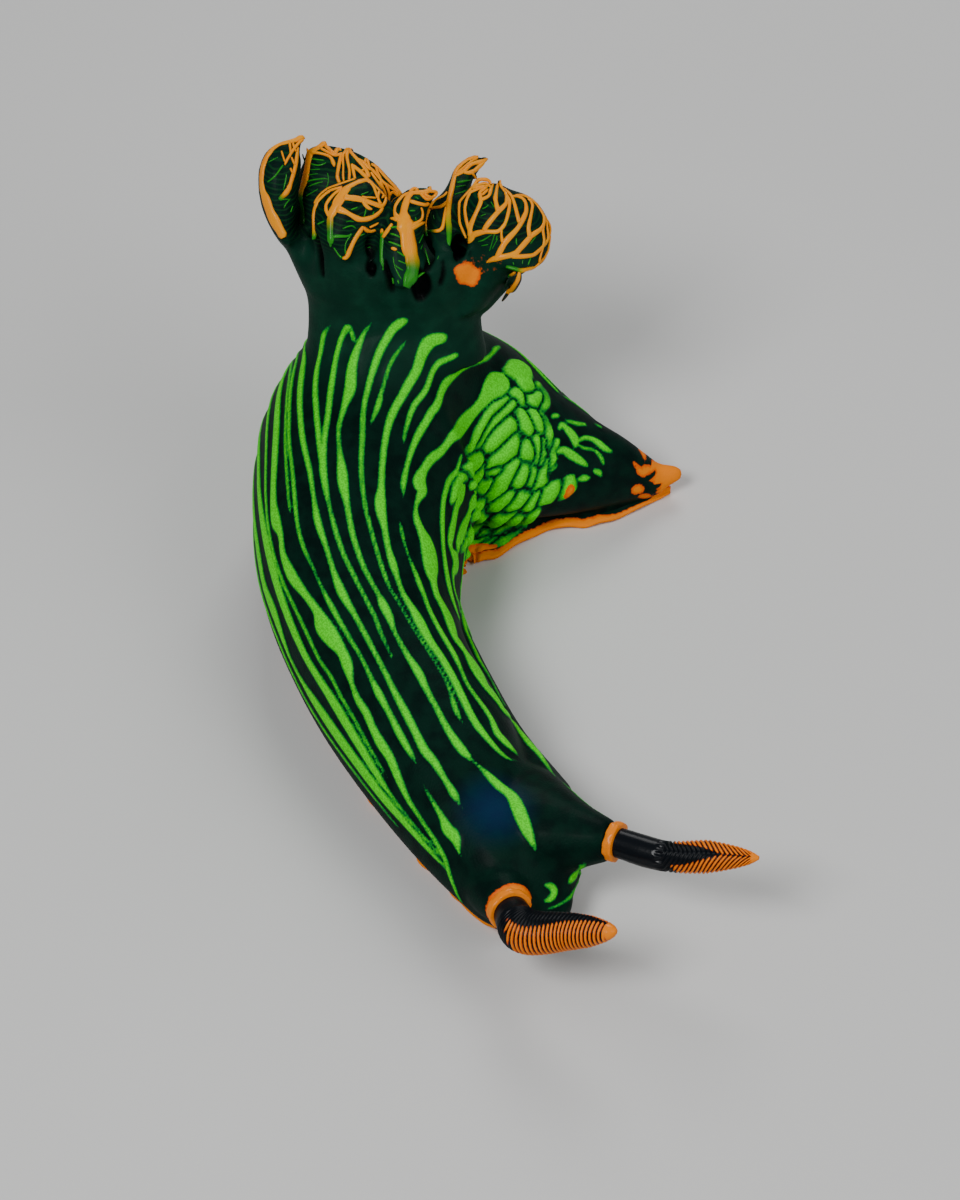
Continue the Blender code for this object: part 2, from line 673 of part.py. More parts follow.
def papilla():
    """The anal papilla, a short cone in the middle of the gill."""
    foot = gill_point(*PAPILLA_FOOT)
    path = [foot + GILL_UP * PAPILLA_RISE * share for share in (0.0, 0.3, 0.6, 0.85, 1.0)]
    radii = [PAPILLA_RADIUS * share for share in (1.0, 0.95, 0.85, 0.6, 0.3)]
    cone = loft("anal_papilla", tube_rings(path, radii, 12))
    seat = loft("seat", base_rings(GAP))
    join(cone, [seat], "DIFFERENCE")
    finish(cone, "gill_base")


def main():
    for old in list(bpy.data.objects):
        bpy.data.objects.remove(old)
    body_lengths()
    foot_lengths()
    tail_tip()
    oral_lobes()
    horns()
    gill_base()
    plumes()
    papilla()


main()
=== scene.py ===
import math

import bpy
import numpy as np
from bpy.props import FloatProperty, FloatVectorProperty, IntProperty, PointerProperty
from mathutils.bvhtree import BVHTree
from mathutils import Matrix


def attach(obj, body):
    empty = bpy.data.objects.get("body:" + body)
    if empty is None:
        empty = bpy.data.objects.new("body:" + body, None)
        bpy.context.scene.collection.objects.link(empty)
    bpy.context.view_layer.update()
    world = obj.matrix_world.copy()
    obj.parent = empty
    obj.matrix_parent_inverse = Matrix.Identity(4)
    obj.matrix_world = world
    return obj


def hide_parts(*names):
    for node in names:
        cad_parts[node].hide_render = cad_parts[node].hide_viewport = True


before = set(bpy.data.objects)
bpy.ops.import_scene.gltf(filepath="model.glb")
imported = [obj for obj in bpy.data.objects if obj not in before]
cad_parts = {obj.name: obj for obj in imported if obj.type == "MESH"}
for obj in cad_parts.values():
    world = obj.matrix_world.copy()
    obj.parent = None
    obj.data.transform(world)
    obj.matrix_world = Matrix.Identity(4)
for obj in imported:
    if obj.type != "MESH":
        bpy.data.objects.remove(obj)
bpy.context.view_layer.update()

bl_info = {
    "name": "Variable neon slug",
    "version": (1, 0, 0),
    "blender": (4, 5, 0),
    "location": "3D View > Sidebar > Slug",
    "description": "Dresses the packed slug with its skin, foot, horns and gill, and lights it",
    "category": "Object",
}

# Lengths below are in millimetres where they aren't in pixels, and MM turns them into
# Blender's metres.
MM = 0.001

# The camera's target, elevation in degrees, distance and height of view, and its sensor
CAMERA_TARGET = (8.5, -11.4, 0.0)
CAMERA_ELEVATION = 45.0
CAMERA_DISTANCE = 400.0
VIEW_HEIGHT = 108.0
SENSOR = 36.0
# The photo's frame and the camera's focal length in pixels
FRAME = (960.0, 1200.0)
FOCAL = FRAME[1] * CAMERA_DISTANCE / VIEW_HEIGHT

# The body's sections: x, y of the middle line, direction of the section's normal towards the
# tail in degrees, half width of the body, height of the back, half width of the foot
STATIONS = {
    "snout": (14.7, -51.7, 128.0, 4.3, 6.0, 2.6),
    "horns": (12.6, -48.9, 127.0, 5.1, 8.2, 3.5),
    "nape": (9.5, -44.6, 124.0, 5.7, 9.9, 4.3),
    "neck": (5.4, -36.9, 117.0, 6.9, 12.0, 5.3),
    "shoulder": (-0.2, -24.9, 112.0, 7.6, 14.6, 6.2),
    "loin": (-1.9, -15.7, 98.0, 9.0, 17.6, 7.4),
    "side": (-1.9, -8.4, 84.6, 9.8, 20.0, 8.4),
    "knee": (-1.2, -3.8, 62.0, 10.6, 21.4, 9.4),
    "gill": (0.4, -0.2, 42.8, 10.5, 22.0, 9.8),
    "croup": (5.2, 2.6, 15.5, 9.6, 19.6, 9.6),
    "rump": (10.5, 2.4, -8.7, 8.0, 15.4, 9.2),
    "tail_root": (15.3, 2.2, -5.0, 6.0, 11.0, 5.0),
    "tail": (19.8, 2.1, -2.0, 3.9, 7.0, 4.1),
    "tail_end": (24.0, 2.4, 3.0, 1.9, 3.6, 2.5),
    "tip": (27.2, 2.8, 5.0, 1.1, 1.9, 1.1),
}
TABLE = np.array(list(STATIONS.values()))
KNOTS = np.concatenate([[0.0], np.cumsum(np.hypot(*np.diff(TABLE[:, :2], axis=0).T))])
LENGTH = float(KNOTS[-1])

# The snout and the tail round off over these lengths, and the skin and the foot end here
SNOUT_ROUND = 4.5
TAIL_ROUND = 2.4
SKIN_END = LENGTH - 0.9
FOOT_END = LENGTH - 1.1
# The tail's back is higher than the stations say by a bump: its height, place and spread
TAIL_LIFT = 0.95
TAIL_LIFT_PLACE = LENGTH - 5.0
TAIL_LIFT_SPREAD = 2.6
# Heights at which the snout and the tail close, on either side of the body's half way
NOSE_HEIGHT = 3.1
TIP_HEIGHT = 2.35
HALF_WAY = 40.0
# The tail's rounded tip, a tube from one point to the other
KNOB = (24.2, 2.45, 2.15)
KNOB_TIP = (27.25, 2.85, 2.3)
KNOB_RADIUS = 1.05
# The section: its lowest height, the share where its middle lies, and how full it is above
# and below
WALL_LOW = 0.6
MIDDLE_SHARE = 0.42
TOP_FULLNESS = 2.1
LOW_FULLNESS = 2.4
# The skin is cut flat at this height along the body and at this one at the tail, and changes
# from one to the other from here on, over this length
SKIN_BOTTOM = 1.1
TAIL_BOTTOM = 0.12
BOTTOM_CHANGE = 76.0
BOTTOM_RUN = 4.0

# The mound under the gill: its middle and height, where it is full and where it ends
MOUND_FOOT = (0.9, 2.0)
MOUND_RISE = 3.2
MOUND_INNER = 4.0
MOUND_OUTER = 9.0
# The gill's own axes and the middle of its foot
GILL_UP = np.array([-0.03, 0.36, 0.93]) / np.linalg.norm([-0.03, 0.36, 0.93])
GILL_RIGHT = np.array([1.0, 0.0, 0.0])
GILL_FRONT = np.cross(GILL_RIGHT, GILL_UP)
GILL_FOOT = np.array([1.3, 3.1, 24.6])
# The gill's funnel: height over its foot, half width across, half width front to back
GILL_BASE_RINGS = (
    (-6.5, 8.2, 5.6),
    (-4.0, 7.75, 5.1),
    (-1.6, 7.7, 5.0),
    (0.2, 8.2, 5.2),
    (2.0, 8.7, 5.7),
    (3.2, 8.9, 5.9),
    (3.7, 8.6, 5.7),
    (3.4, 8.0, 5.1),
    (2.8, 5.9, 3.6),
    (2.4, 4.4, 2.4),
)
# Which of these rings is the rim, and how far the funnel's foot is shifted to the left
GILL_RIM = 6
BASE_SHIFT = 0.45

# Each plume's palm, after traced outlines: rows from its foot to its top as pixels down
# the photo, then right at its left and right edge, and the depth and half thickness in
# millimetres
GILL_PALMS = {
    "gill_plume_1": (
        (246, 282, 296, -0.4, 2.0), (232, 272.5, 295.5, -0.4, 2.0), (216, 264.5, 298.5, -0.4, 2.0),
        (200, 259.5, 299, -0.4, 2.0), (186, 258, 299.5, -0.4, 2.0), (172, 258, 301, -0.4, 1.9),
        (160, 261, 301.5, -0.4, 1.6), (150, 267, 300, -0.4, 1.3), (143, 277.5, 303, -0.4, 0.8),
        (138.5, 290, 304.5, -0.4, 0.4),
    ),
    "gill_plume_2": (
        (242, 299, 379.5, -3.4, 2.2), (230, 293, 388.5, -3.4, 2.4), (214, 293, 400.5, -3.4, 2.4),
        (200, 293.5, 405.5, -3.4, 2.4), (188, 295, 399.5, -3.4, 2.3), (176, 297.5, 388, -3.4, 2.2),
        (166, 301, 379, -3.4, 1.9), (157, 304.5, 366, -3.4, 1.5), (150, 305.5, 351, -3.4, 1.0),
        (145, 315, 328, -3.4, 0.5),
    ),
    "gill_plume_3": (
        (260, 340.5, 352, 1.8, 3.0), (250, 325.5, 364, 1.8, 3.0), (240, 311, 372, 1.8, 3.0),
        (228, 311, 383.5, 1.8, 3.0), (216, 311, 388.5, 1.8, 3.0), (205, 313, 390, 1.8, 2.8),
        (196, 318.5, 387, 1.8, 2.5), (188, 328, 381, 1.8, 2.0), (182, 340, 375.5, 1.8, 1.3),
        (178, 351.5, 372, 1.8, 0.6),
    ),
    "gill_plume_4": (
        (287, 389.5, 414, 3.3, 2.0), (276, 378.5, 426.5, 3.2, 2.0), (264, 377, 426, 3.1, 2.0),
        (250, 377.5, 423.5, 3.0, 2.0), (236, 378, 424.5, 2.8, 2.0), (224, 380.5, 426, 2.7, 2.0),
        (214, 390.5, 427, 2.6, 1.8), (205, 392.5, 430, 2.6, 1.6), (197, 397.5, 436, 2.5, 1.2),
        (191, 404, 438, 2.4, 0.8), (187.5, 408, 432, 2.4, 0.4),
    ),
    "gill_plume_5": (
        (258, 434, 441.5, 1.6, 1.9), (244, 426, 456.5, 0.8, 1.9), (230, 423.5, 462.5, -0.1, 1.9),
        (216, 424, 466.5, -1.0, 1.9), (204, 428.5, 469, -1.7, 1.9), (193, 442, 470.5, -2.4, 1.8),
        (182, 448.5, 472.5, -3.0, 1.6), (173, 451.5, 477.5, -3.6, 1.3), (165, 456, 484.5, -4.1, 1.0),
        (159, 465, 487.5, -4.5, 0.5), (156.5, 471, 483, -4.6, 0.4),
    ),
    "gill_plume_6": (
        (271, 509, 530.5, 0.8, 3.2), (262, 478, 544, 0.8, 3.2), (250, 467, 549.5, 0.8, 3.2),
        (238, 458, 551.5, 0.8, 3.2), (226, 456, 551, 0.8, 3.2), (214, 456.5, 545.5, 0.8, 3.1),
        (204, 457.5, 539, 0.8, 2.7), (195, 462, 528, 0.8, 2.2), (188, 468, 507, 0.8, 1.5),
        (183, 472.5, 503, 0.8, 0.6),
    ),
}
# Veins of each plume as traced: the share that is green from the start, then points as
# pixels right and down in the photo and the width in pixels
VEINS = {
    "gill_plume_1": (
        (0, (283, 238, 6.5), (280, 232, 8.5), (270.5, 216, 11), (264.8, 199, 9.5), (261.8, 190, 7.2),
            (261, 180, 6), (261.7, 170, 6), (264.6, 160, 5.6), (269.3, 152, 5), (274, 147, 4.6),
            (281, 143.3, 4.5), (289, 141, 4.2), (302, 137.6, 4.4), (304.5, 138.6, 2.5)),
        (0, (303, 140, 3), (299.5, 142.5, 2.6), (292, 152, 2.5), (286.5, 161, 2.2), (285, 165, 1.2)),
        (0, (281.5, 151, 1.5), (285, 162, 1.6)),
        (0, (289.5, 141.5, 2.4), (291, 152, 1.8), (290, 157, 1.2)),
        (0, (293, 142, 2), (294, 147, 2), (296.5, 151.5, 2.4)),
        (0.08, (279.3, 199.6, 3.4), (286.3, 193, 4.6), (289.5, 188, 4.6), (291.4, 182, 3.8),
            (296, 166, 4.2), (298.2, 147, 2.6)),
        (0, (291.5, 157, 1.4), (295, 165, 2)),
        (0, (290.5, 168, 1.4), (293.5, 174, 2)),
        (1, (283, 165, 2.2), (275, 176, 2.5), (267, 182, 2)),
        (1, (278, 157, 1.2), (268.5, 161.8, 1.8)),
        (1, (286.5, 174, 1.4), (286, 180, 2.2), (283.4, 190, 1.2)),
        (1, (290.5, 199, 2), (286.5, 203, 2), (284, 208, 1.4)),
        (1, (280, 200, 2.4), (285, 199, 2), (290, 199.5, 1.4)),
        (1, (293, 206, 1.4), (291, 212, 1.4)),
    ),
    "gill_plume_2": (
        (0.3, (301.5, 226, 7), (301, 216, 8.5), (300, 200, 6.2), (300.6, 192, 5.4), (305, 178, 7),
            (308.6, 156, 6.6), (310.6, 152, 6), (314.3, 149, 5.2), (324, 143.8, 4.8), (326.4, 144.4, 3)),
        (0, (308.5, 155, 3), (307, 148.5, 2.4)),
        (1, (302.6, 154, 1.6), (304.2, 162, 1.6)),
        (0, (311, 152.6, 3.4), (317, 152.4, 2.6), (328.4, 155.3, 2.3), (331.6, 158.6, 3), (333.5, 163, 3.2),
            (334.2, 166.5, 1.8)),
        (0, (320, 147.5, 2.6), (333, 154.6, 2.4), (338, 154.6, 2.8), (342, 153, 2.6)),
        (0, (325.5, 145, 3.4), (335.5, 154.6, 3)),
        (1, (310, 158.6, 2), (324, 160.2, 2)),
        (1, (310.5, 163.6, 2.2), (317, 165.4, 2.2), (322, 164.5, 2), (326, 162.6, 1.4)),
        (1, (310, 169.6, 2), (320, 169.2, 1.4)),
        (1, (307, 181.6, 2.6), (312, 180, 2.4), (324, 178.4, 2.2), (328, 179.4, 1.8)),
        (1, (308, 186.6, 2), (317, 183, 2.3), (323, 181.8, 1.8)),
        (1, (306, 196, 1.6), (318, 189, 1.8)),
        (1, (327.4, 173, 1.6), (328.6, 179, 1.8), (328, 184, 1.7), (326, 188, 1.4)),
        (1, (306, 175, 1.8), (318, 173.6, 1.2)),
        (0, (335, 154, 3), (336.6, 149, 4.4), (339.4, 147.2, 3.4), (340.6, 150, 2.6)),
        (0, (341.4, 153, 3.2), (337.6, 172, 3), (337.6, 178, 3), (339.6, 183, 3)),
        (0, (341.5, 155, 3), (345, 152.6, 3.4), (348, 149, 4.4), (349.6, 147.8, 2.6)),
        (0, (348, 150, 4), (346.8, 156, 3), (349, 167, 2.4), (349.6, 174, 2.3), (349, 181, 2.2)),
        (0, (343.5, 154, 2.4), (342.8, 160, 2), (343.4, 167, 1.8), (343, 175, 1.8), (344, 182, 1.6)),
        (0, (349.6, 148.4, 3.4), (352, 153, 3.3), (364.6, 167, 3.8), (369.6, 177, 3.4)),
        (0, (352, 165, 3.4), (360, 170.7, 3.6), (368.4, 179, 3.4)),
        (0, (352, 164, 3), (355.6, 181, 2.2)),
        (0, (364.6, 164, 3), (366.2, 158.6, 3.2), (367.8, 160, 3), (370.4, 170, 2.6)),
        (0, (357, 158.6, 3), (362, 160.6, 3), (366, 164, 3), (370, 169.4, 3)),
        (0, (361, 171, 2), (366, 168, 1.5)),
        (0, (371.6, 164, 3), (375, 165.2, 3.6), (379, 168.4, 4), (385.6, 176.6, 4), (397.5, 188.6, 3.6),
            (401.5, 193.6, 3.6)),
        (0, (370, 167.6, 3), (374, 171, 3), (382, 180.4, 3), (386, 184, 3), (396, 190.6, 3), (400, 195, 3)),
        (0, (376.6, 166.6, 2.6), (377.4, 172, 2.2), (381, 178, 2.4)),
        (0, (371, 172, 2.2), (383, 189, 2.6)),
        (0, (381, 180, 3), (381.6, 185, 2.6), (384.6, 190, 2.4), (386, 196, 2.4)),
        (0, (386, 184.6, 2.6), (388.6, 190, 2.4), (389.4, 196, 2.6), (388, 202, 2.6)),
        (0, (389.6, 196, 2.4), (391.4, 191.6, 2.4), (395, 192.6, 2.4), (398.6, 196.6, 2.4)),
    ),
    "gill_plume_3": (
        (0.1, (313, 239, 3.6), (313.5, 232, 4.2), (313, 218, 4.2), (313.6, 211, 4.6), (315.4, 205, 5),
            (318.4, 200, 4.2), (327, 192, 3), (332, 189.4, 3), (342, 186.6, 3)),
        (0, (314.4, 203.5, 3), (317, 198.4, 3), (321, 193.6, 3.1), (326, 189.6, 3.2), (331, 187, 3.3),
            (355, 178.6, 3)),
        (0, (318, 200.6, 3), (326, 193.4, 2), (330, 191.4, 1.8)),
        (0, (328.6, 216, 3), (326, 211, 3), (325.6, 206, 3), (327.4, 201.4, 3), (334, 193.6, 3),
            (342, 187.6, 3)),
        (0, (333, 205, 2.4), (335, 199, 2.4), (342, 190, 2.4)),
        (0.16, (330.6, 244, 4.6), (330, 237, 6), (329.6, 223, 6), (330.4, 216, 6.4), (332.6, 211, 8),
            (338.4, 201, 8.8), (344, 191, 8.4), (347.4, 187, 6.6), (351.4, 184.6, 5.2), (356, 182.4, 5.2),
            (361, 180.4, 5.6), (366, 179.6, 5), (370, 181, 5), (384, 194.6, 2.4)),
        (0, (344, 196.6, 7), (350, 197.6, 5.2), (361, 199, 5.6), (380, 206, 4.6), (383.6, 205, 3.6),
            (385.8, 201.6, 3), (386, 197.6, 2.6), (384.4, 195.4, 2.4), (382.4, 197.6, 2)),
        (0, (362.6, 200, 3.4), (365.6, 205, 3.6), (368.6, 208, 3.2), (372, 209.4, 2.4)),
        (0, (380, 190.6, 3), (378, 195, 2.6), (378.6, 200, 2.6), (381.4, 204, 2.6)),
        (0, (371.4, 183, 3), (374.6, 188, 2.6), (378, 199, 2)),
        (0, (362, 196.4, 2), (366, 197.6, 1.8), (371, 197, 1.6), (376, 198, 1.6)),
        (1, (361, 194.6, 2), (368.6, 191.6, 1.6)),
        (1, (351, 209.6, 2), (358, 207, 1.4)),
        (0, (337, 208.6, 7), (347, 212.4, 4.2), (356, 218, 4.6), (361, 219.6, 4.6), (367, 219.2, 4.2),
            (372, 217.7, 4), (376.4, 215.4, 3.6), (380.4, 212, 3.4), (383, 208, 3)),
        (1, (366, 209, 1.6), (365.6, 213, 1.8), (364, 217, 1.6)),
        (1, (374, 211.6, 1.4), (373, 215, 1.6)),
        (0, (364, 227.5, 3), (367, 230.6, 3.2), (371, 231.8, 3), (375.6, 230, 3.2), (379.6, 227, 3),
            (387.4, 212, 3.4), (393.6, 203, 4), (397, 199.4, 4), (405.4, 194, 3)),
        (0, (370, 227.4, 1.6), (375, 225, 2), (379, 221.6, 2), (388, 206.4, 2)),
        (0, (343, 258.4, 2.6), (346.6, 257.4, 3.6), (349, 254, 4.2), (353.2, 243, 4.2), (362, 229, 3.6),
            (363.6, 226.6, 2.6)),
        (1, (333.6, 248, 1.4), (339.6, 257, 2), (343, 258.6, 2.2)),
        (1, (345.8, 254, 2), (345, 247, 1.8), (346.6, 241, 1.8), (350, 237, 1.8), (351.4, 233, 1.6)),
        (1, (331.6, 237, 4), (337, 236, 4.4), (348, 236.4, 3.6), (352, 234, 2)),
        (1, (342.6, 228.6, 1.8), (351.6, 225.4, 2), (356, 228.6, 1.6)),
        (1, (317, 224.2, 2), (320.4, 222.8, 2.8), (324, 221, 2)),
        (1, (329.6, 241, 5), (330.4, 247, 3)),
        (1, (354, 236, 2), (360, 236, 2.4), (365, 234, 1.8)),
        (1, (346, 222, 1.2), (350, 220.6, 1.4), (354, 222, 1.2)),
    ),
    "gill_plume_4": (
        (0.62, (381.4, 282, 3), (381, 248, 4.6), (381.8, 236, 5), (381.4, 231, 5), (380, 226.5, 3.8)),
        (0, (382.6, 237, 4.4), (391.8, 223.6, 2.8)),
        (1, (367, 247.6, 1.6), (376.6, 246, 2)),
        (1, (369.4, 262.6, 1.6), (373, 259, 2), (377.4, 256.6, 1.6)),
        (0.2, (407.4, 288, 9), (410, 281, 11), (412.4, 273, 11.4), (413.6, 265, 12), (412.6, 257, 13),
            (410, 248, 13), (407.2, 232, 13), (405.6, 225, 14), (403.6, 219, 12), (403.2, 214, 8),
            (404, 208, 6.2), (407, 198, 6), (409.2, 194.4, 6), (412.6, 192.2, 5.2), (422, 192, 5),
            (426.6, 191, 4.8), (430, 188.6, 4), (431, 186.6, 2.4)),
        (0, (401, 220, 7), (397.4, 217, 6), (394.6, 213.6, 4), (394.4, 208.6, 3.6), (395.6, 204, 3.6),
            (401.4, 196.4, 3.6), (405, 194, 3.2), (409, 192.6, 3)),
        (0, (390.6, 218.4, 2), (394, 218, 3.6), (398, 219, 5)),
        (0, (408, 227, 8), (412.6, 225.6, 5.2), (420.6, 221, 3), (422.8, 217, 2.6), (423, 212, 2.2),
            (421.4, 207.6, 1.6)),
        (0, (411, 228.4, 5), (424.4, 222.4, 3)),
        (0, (409.6, 192.4, 3.2), (411, 188.8, 3.2), (414.6, 187.4, 3.2), (417.8, 188.4, 3),
            (416.6, 190.8, 2.6)),
        (0, (410, 200.6, 3.4), (425, 205, 3.2), (429, 203.8, 3)),
        (0, (420, 192.6, 3.2), (426, 199, 2.6), (430, 199.2, 2.5), (433.6, 198, 2.4)),
        (0, (424.6, 194, 2.8), (433.4, 198, 2.5), (437.6, 191.6, 2.3), (429, 190.6, 2.6)),
        (1, (409.6, 210.6, 2.2), (415.4, 210.6, 1.8)),
        (1, (414.6, 196.4, 1.8), (418.6, 198.4, 1.6)),
        (1, (415.6, 217, 1.4), (416.6, 221, 1.4)),
        (1, (390, 227.6, 2), (394, 226.6, 2.8), (399.4, 227, 2.6)),
        (1, (390.4, 233.6, 2.2), (394.6, 234.4, 2.8), (400.4, 237.6, 2.6)),
        (1, (388.4, 241.6, 2), (393, 243, 2.8), (403, 247, 2.4)),
        (1, (397, 251.4, 2), (405.6, 256.6, 2.6)),
        (0, (391.4, 248, 2.2), (394, 248.8, 2.8), (396.8, 249.6, 2.2)),
        (1, (398, 260.4, 1.8), (406.6, 264, 2)),
        (1, (394.6, 264.4, 1.4), (398.4, 268, 2), (403.4, 270.4, 1.8)),
        (1, (393, 257, 1.3), (394, 264, 1.5), (396.6, 271, 1.7), (401.6, 279.4, 1.4)),
        (1, (397.6, 280, 1.8), (398.6, 283.6, 2)),
        (1, (392, 278, 1.4), (393, 284, 1.4)),
        (1, (423.4, 234.6, 1.8), (419.4, 243, 1.8)),
        (1, (423, 244.6, 1.6), (420.8, 249, 1.8)),
        (1, (424.6, 248, 1.6), (429, 264, 2.8), (430.6, 272, 1.8)),
        (1, (424.8, 272.4, 1.6), (418, 277.6, 1.3)),
    ),
    "gill_plume_5": (
        (0.1, (426.6, 236, 2.4), (425.2, 227, 3), (425.6, 219.6, 3.1), (429.8, 207, 3.6),
            (432.4, 202.6, 3.6), (435.6, 199.8, 3.2), (443.6, 195.8, 3), (447, 192, 3)),
        (0, (430, 208.2, 3), (439.4, 206.8, 3.2), (443.6, 204.6, 3.2), (447, 201, 3.2)),
        (0.15, (427.4, 231, 2.2), (437.6, 230.6, 3.2), (441, 228.8, 3.2), (443.2, 224.6, 3),
            (445.6, 207, 2)),
        (1, (433, 215, 1.2), (434, 219, 1.4)),
        (1, (438.8, 255.6, 1.2), (436, 262, 1.2)),
        (0.14, (449, 250, 2), (449.5, 229, 5.6), (449, 205, 5), (449.6, 197, 5), (454.4, 174, 4.5),
            (457, 168.4, 4.2), (461, 164.2, 4.2), (466, 160.4, 4.2), (471, 158, 4), (478.4, 156, 2)),
        (0, (454.6, 175.6, 4), (464, 170.6, 3.8), (467.8, 166.6, 3.5), (472, 163.6, 3.6), (477, 161.6, 4),
            (483, 160.6, 4), (487.6, 159, 2.6)),
        (0, (463.6, 171.6, 3.6), (469, 172.4, 3.6), (474, 171, 3.6), (479, 168, 3.5), (485.4, 161, 2.4)),
        (0, (456.6, 173, 2.4), (470, 162, 2.2), (478, 157.4, 2)),
        (0, (470.6, 160.4, 2), (471.6, 163.4, 2)),
        (0, (472, 172.4, 2.4), (477, 179, 1.4)),
        (0, (450.6, 212.2, 4.4), (455, 212.6, 3.2), (458, 211.8, 2)),
        (1, (457, 182, 1.6), (461.6, 181, 2.3), (471, 180, 1.6)),
        (1, (454.6, 194, 1.6), (464, 191.6, 2.1), (468, 189.6, 1.5)),
        (1, (456, 186.6, 1.2), (466, 185, 1.2)),
        (0, (453.6, 220, 1), (453.6, 229, 1)),
    ),
    "gill_plume_6": (
        (0, (469.6, 246.6, 3.4), (469.8, 241, 5.6), (471.6, 236.4, 6.2), (475, 234, 5.4), (485, 231.5, 4.2),
            (495, 232, 3.6), (499.4, 230.4, 3.6), (503.2, 226.4, 3.2), (506.2, 221, 3), (509.2, 209, 2.9),
            (509.6, 203, 2.9), (509, 198, 2.7), (501.4, 186.6, 2.6), (500.5, 180, 1.4)),
        (0, (483.6, 230.6, 4.6), (487, 225, 4.6), (498.2, 211.4, 4.6), (505.2, 204.6, 3.6),
            (506.8, 200.4, 3.1), (506.8, 195.4, 3), (505, 191, 2.6)),
        (0, (498.4, 212, 4), (495.7, 201, 3.7), (495.6, 196, 3.6), (497.8, 183.6, 2.2)),
        (0, (470.4, 237, 6), (469.6, 231, 5.6), (470.2, 225.4, 5.2), (479.6, 205, 4.1), (480.6, 199.4, 3.7),
            (479.6, 194.6, 3.5), (480.4, 191, 3.2), (487, 186.8, 3)),
        (0, (480.2, 199.6, 3.6), (487.8, 196.6, 3.1), (490, 193, 3), (490.7, 189, 2.8),
            (493.4, 183.6, 1.8)),
        (0, (482, 194.6, 2.6), (488, 189.2, 2)),
        (0, (469.4, 230, 4), (467, 224.4, 3.7), (464.6, 212, 3.1), (465, 205, 3.1), (466.6, 199, 3.1),
            (468.8, 194.4, 3.1), (471.6, 191, 3.1), (486, 186, 3)),
        (0, (466, 238, 2), (460.6, 226, 3.1), (459.1, 219, 3.1), (459, 205, 3.1), (460.6, 200, 3),
            (471, 188.6, 2.6), (476.2, 181.4, 2.9), (480, 179.4, 3), (485, 179.2, 3), (489, 180.8, 2.7),
            (491.4, 184, 2)),
        (0, (473.6, 185.4, 3), (484, 182.8, 3), (488, 184, 2.7), (490.4, 186.6, 2.4)),
        (0, (471.6, 188, 2.6), (483, 185.6, 2.6), (488, 186.2, 2.4)),
        (0, (494.6, 261, 3.4), (500.4, 250.6, 5.2), (506.4, 240.4, 5.4), (517.8, 228.6, 4.6),
            (525.2, 215, 4.2), (526.6, 210, 3.7), (526.2, 204, 3.3), (524.4, 199.6, 3.1), (521, 197, 3),
            (516.6, 195.8, 2.7), (512.6, 196, 2.5)),
        (0, (520, 222, 4), (518, 217, 3.7), (513, 198, 2.8), (508, 191.6, 2.6), (504, 188.4, 2.5)),
        (0, (502.6, 243, 3), (501.2, 234, 2.2), (502, 230, 1.8)),
        (1, (502, 231, 1.6), (508, 220.6, 1.6)),
        (0, (486, 262.6, 2.4), (497, 258, 5.2), (514, 254.4, 5.2), (518, 251, 5.2), (529.6, 238, 5),
            (533, 234.8, 4.7), (541, 229.4, 4), (543.6, 225.8, 3.6), (544.6, 221, 3.2), (544, 216, 3.1),
            (541.6, 211, 3.1), (535, 202, 3), (526.4, 196, 2.9), (521, 194.8, 2.7), (515.6, 195, 2.4)),
        (0, (530.4, 237.4, 4.6), (529, 231, 4.1), (529, 225, 3.7), (532.6, 208, 3.1), (532.6, 204, 3.1),
            (531, 200.6, 3), (528, 198, 2.6)),
        (0, (512, 256, 4.6), (519, 256.6, 4.2), (531, 255.6, 3.6), (536, 253.6, 3.6), (543.6, 246.2, 3.3),
            (547, 241.6, 3.1), (549.6, 236, 3), (550.6, 230, 2.9), (549.6, 224, 2.8), (543.6, 214.6, 2.6)),
        (0, (543.8, 246, 3.2), (544.6, 240, 3.1), (543, 230, 2.9), (543.6, 225.6, 2.8)),
        (0, (547.2, 241, 2.2), (548.2, 235, 2.1), (546.4, 220, 1.8)),
        (0.18, (506, 267, 2.2), (517, 270, 3.4), (524, 270.2, 3.6), (531, 269, 3.5), (536, 266.6, 3.3),
            (543.8, 259, 2.9), (546.7, 254, 2.7), (548.7, 249, 2.5), (550.4, 236, 2)),
        (0, (539.8, 263, 2), (540.4, 257, 1.9), (543.4, 246.6, 1.8)),
        (1, (528.4, 265, 1.8), (531.4, 256.6, 1.6)),
        (0, (519, 272, 2.4), (517.6, 278, 3.2), (515, 283.4, 3.6), (508, 292.8, 3.5), (502, 301.4, 2)),
        (0.6, (496.4, 282, 2.2), (509.4, 275.6, 2.3), (514, 272.4, 2.2)),
        (1, (503.4, 270, 1.4), (502.6, 276, 1.6), (501, 280, 1.4)),
        (1, (508, 278, 1.3), (505, 289, 1.2)),
        (1, (478, 241.6, 1.6), (483, 240.4, 2.2), (491.4, 234.8, 1.7)),
        (1, (481, 246, 1.5), (488, 244.6, 1.7)),
        (1, (489.4, 251, 1.5), (494.6, 234, 1.6)),
        (1, (497, 236, 1.4), (496, 240, 1.6)),
        (1, (516.6, 238, 1.4), (516.2, 242, 2), (517, 245, 1.4)),
        (1, (530.6, 243.6, 1.6), (536, 236.6, 1.7)),
        (1, (480.6, 216, 1.4), (485.6, 214, 1.2)),
        (1, (482, 208.6, 1.3), (485.6, 207.4, 1.8), (488.6, 204.6, 1.3)),
        (1, (490.8, 201.6, 1.3), (494, 207, 1.2)),
        (1, (492, 249, 1.5), (498, 238, 1.3)),
        (1, (513, 262, 1.2), (514, 265, 1.4)),
        (1, (523, 259.6, 1.2), (522.4, 264, 1.6)),
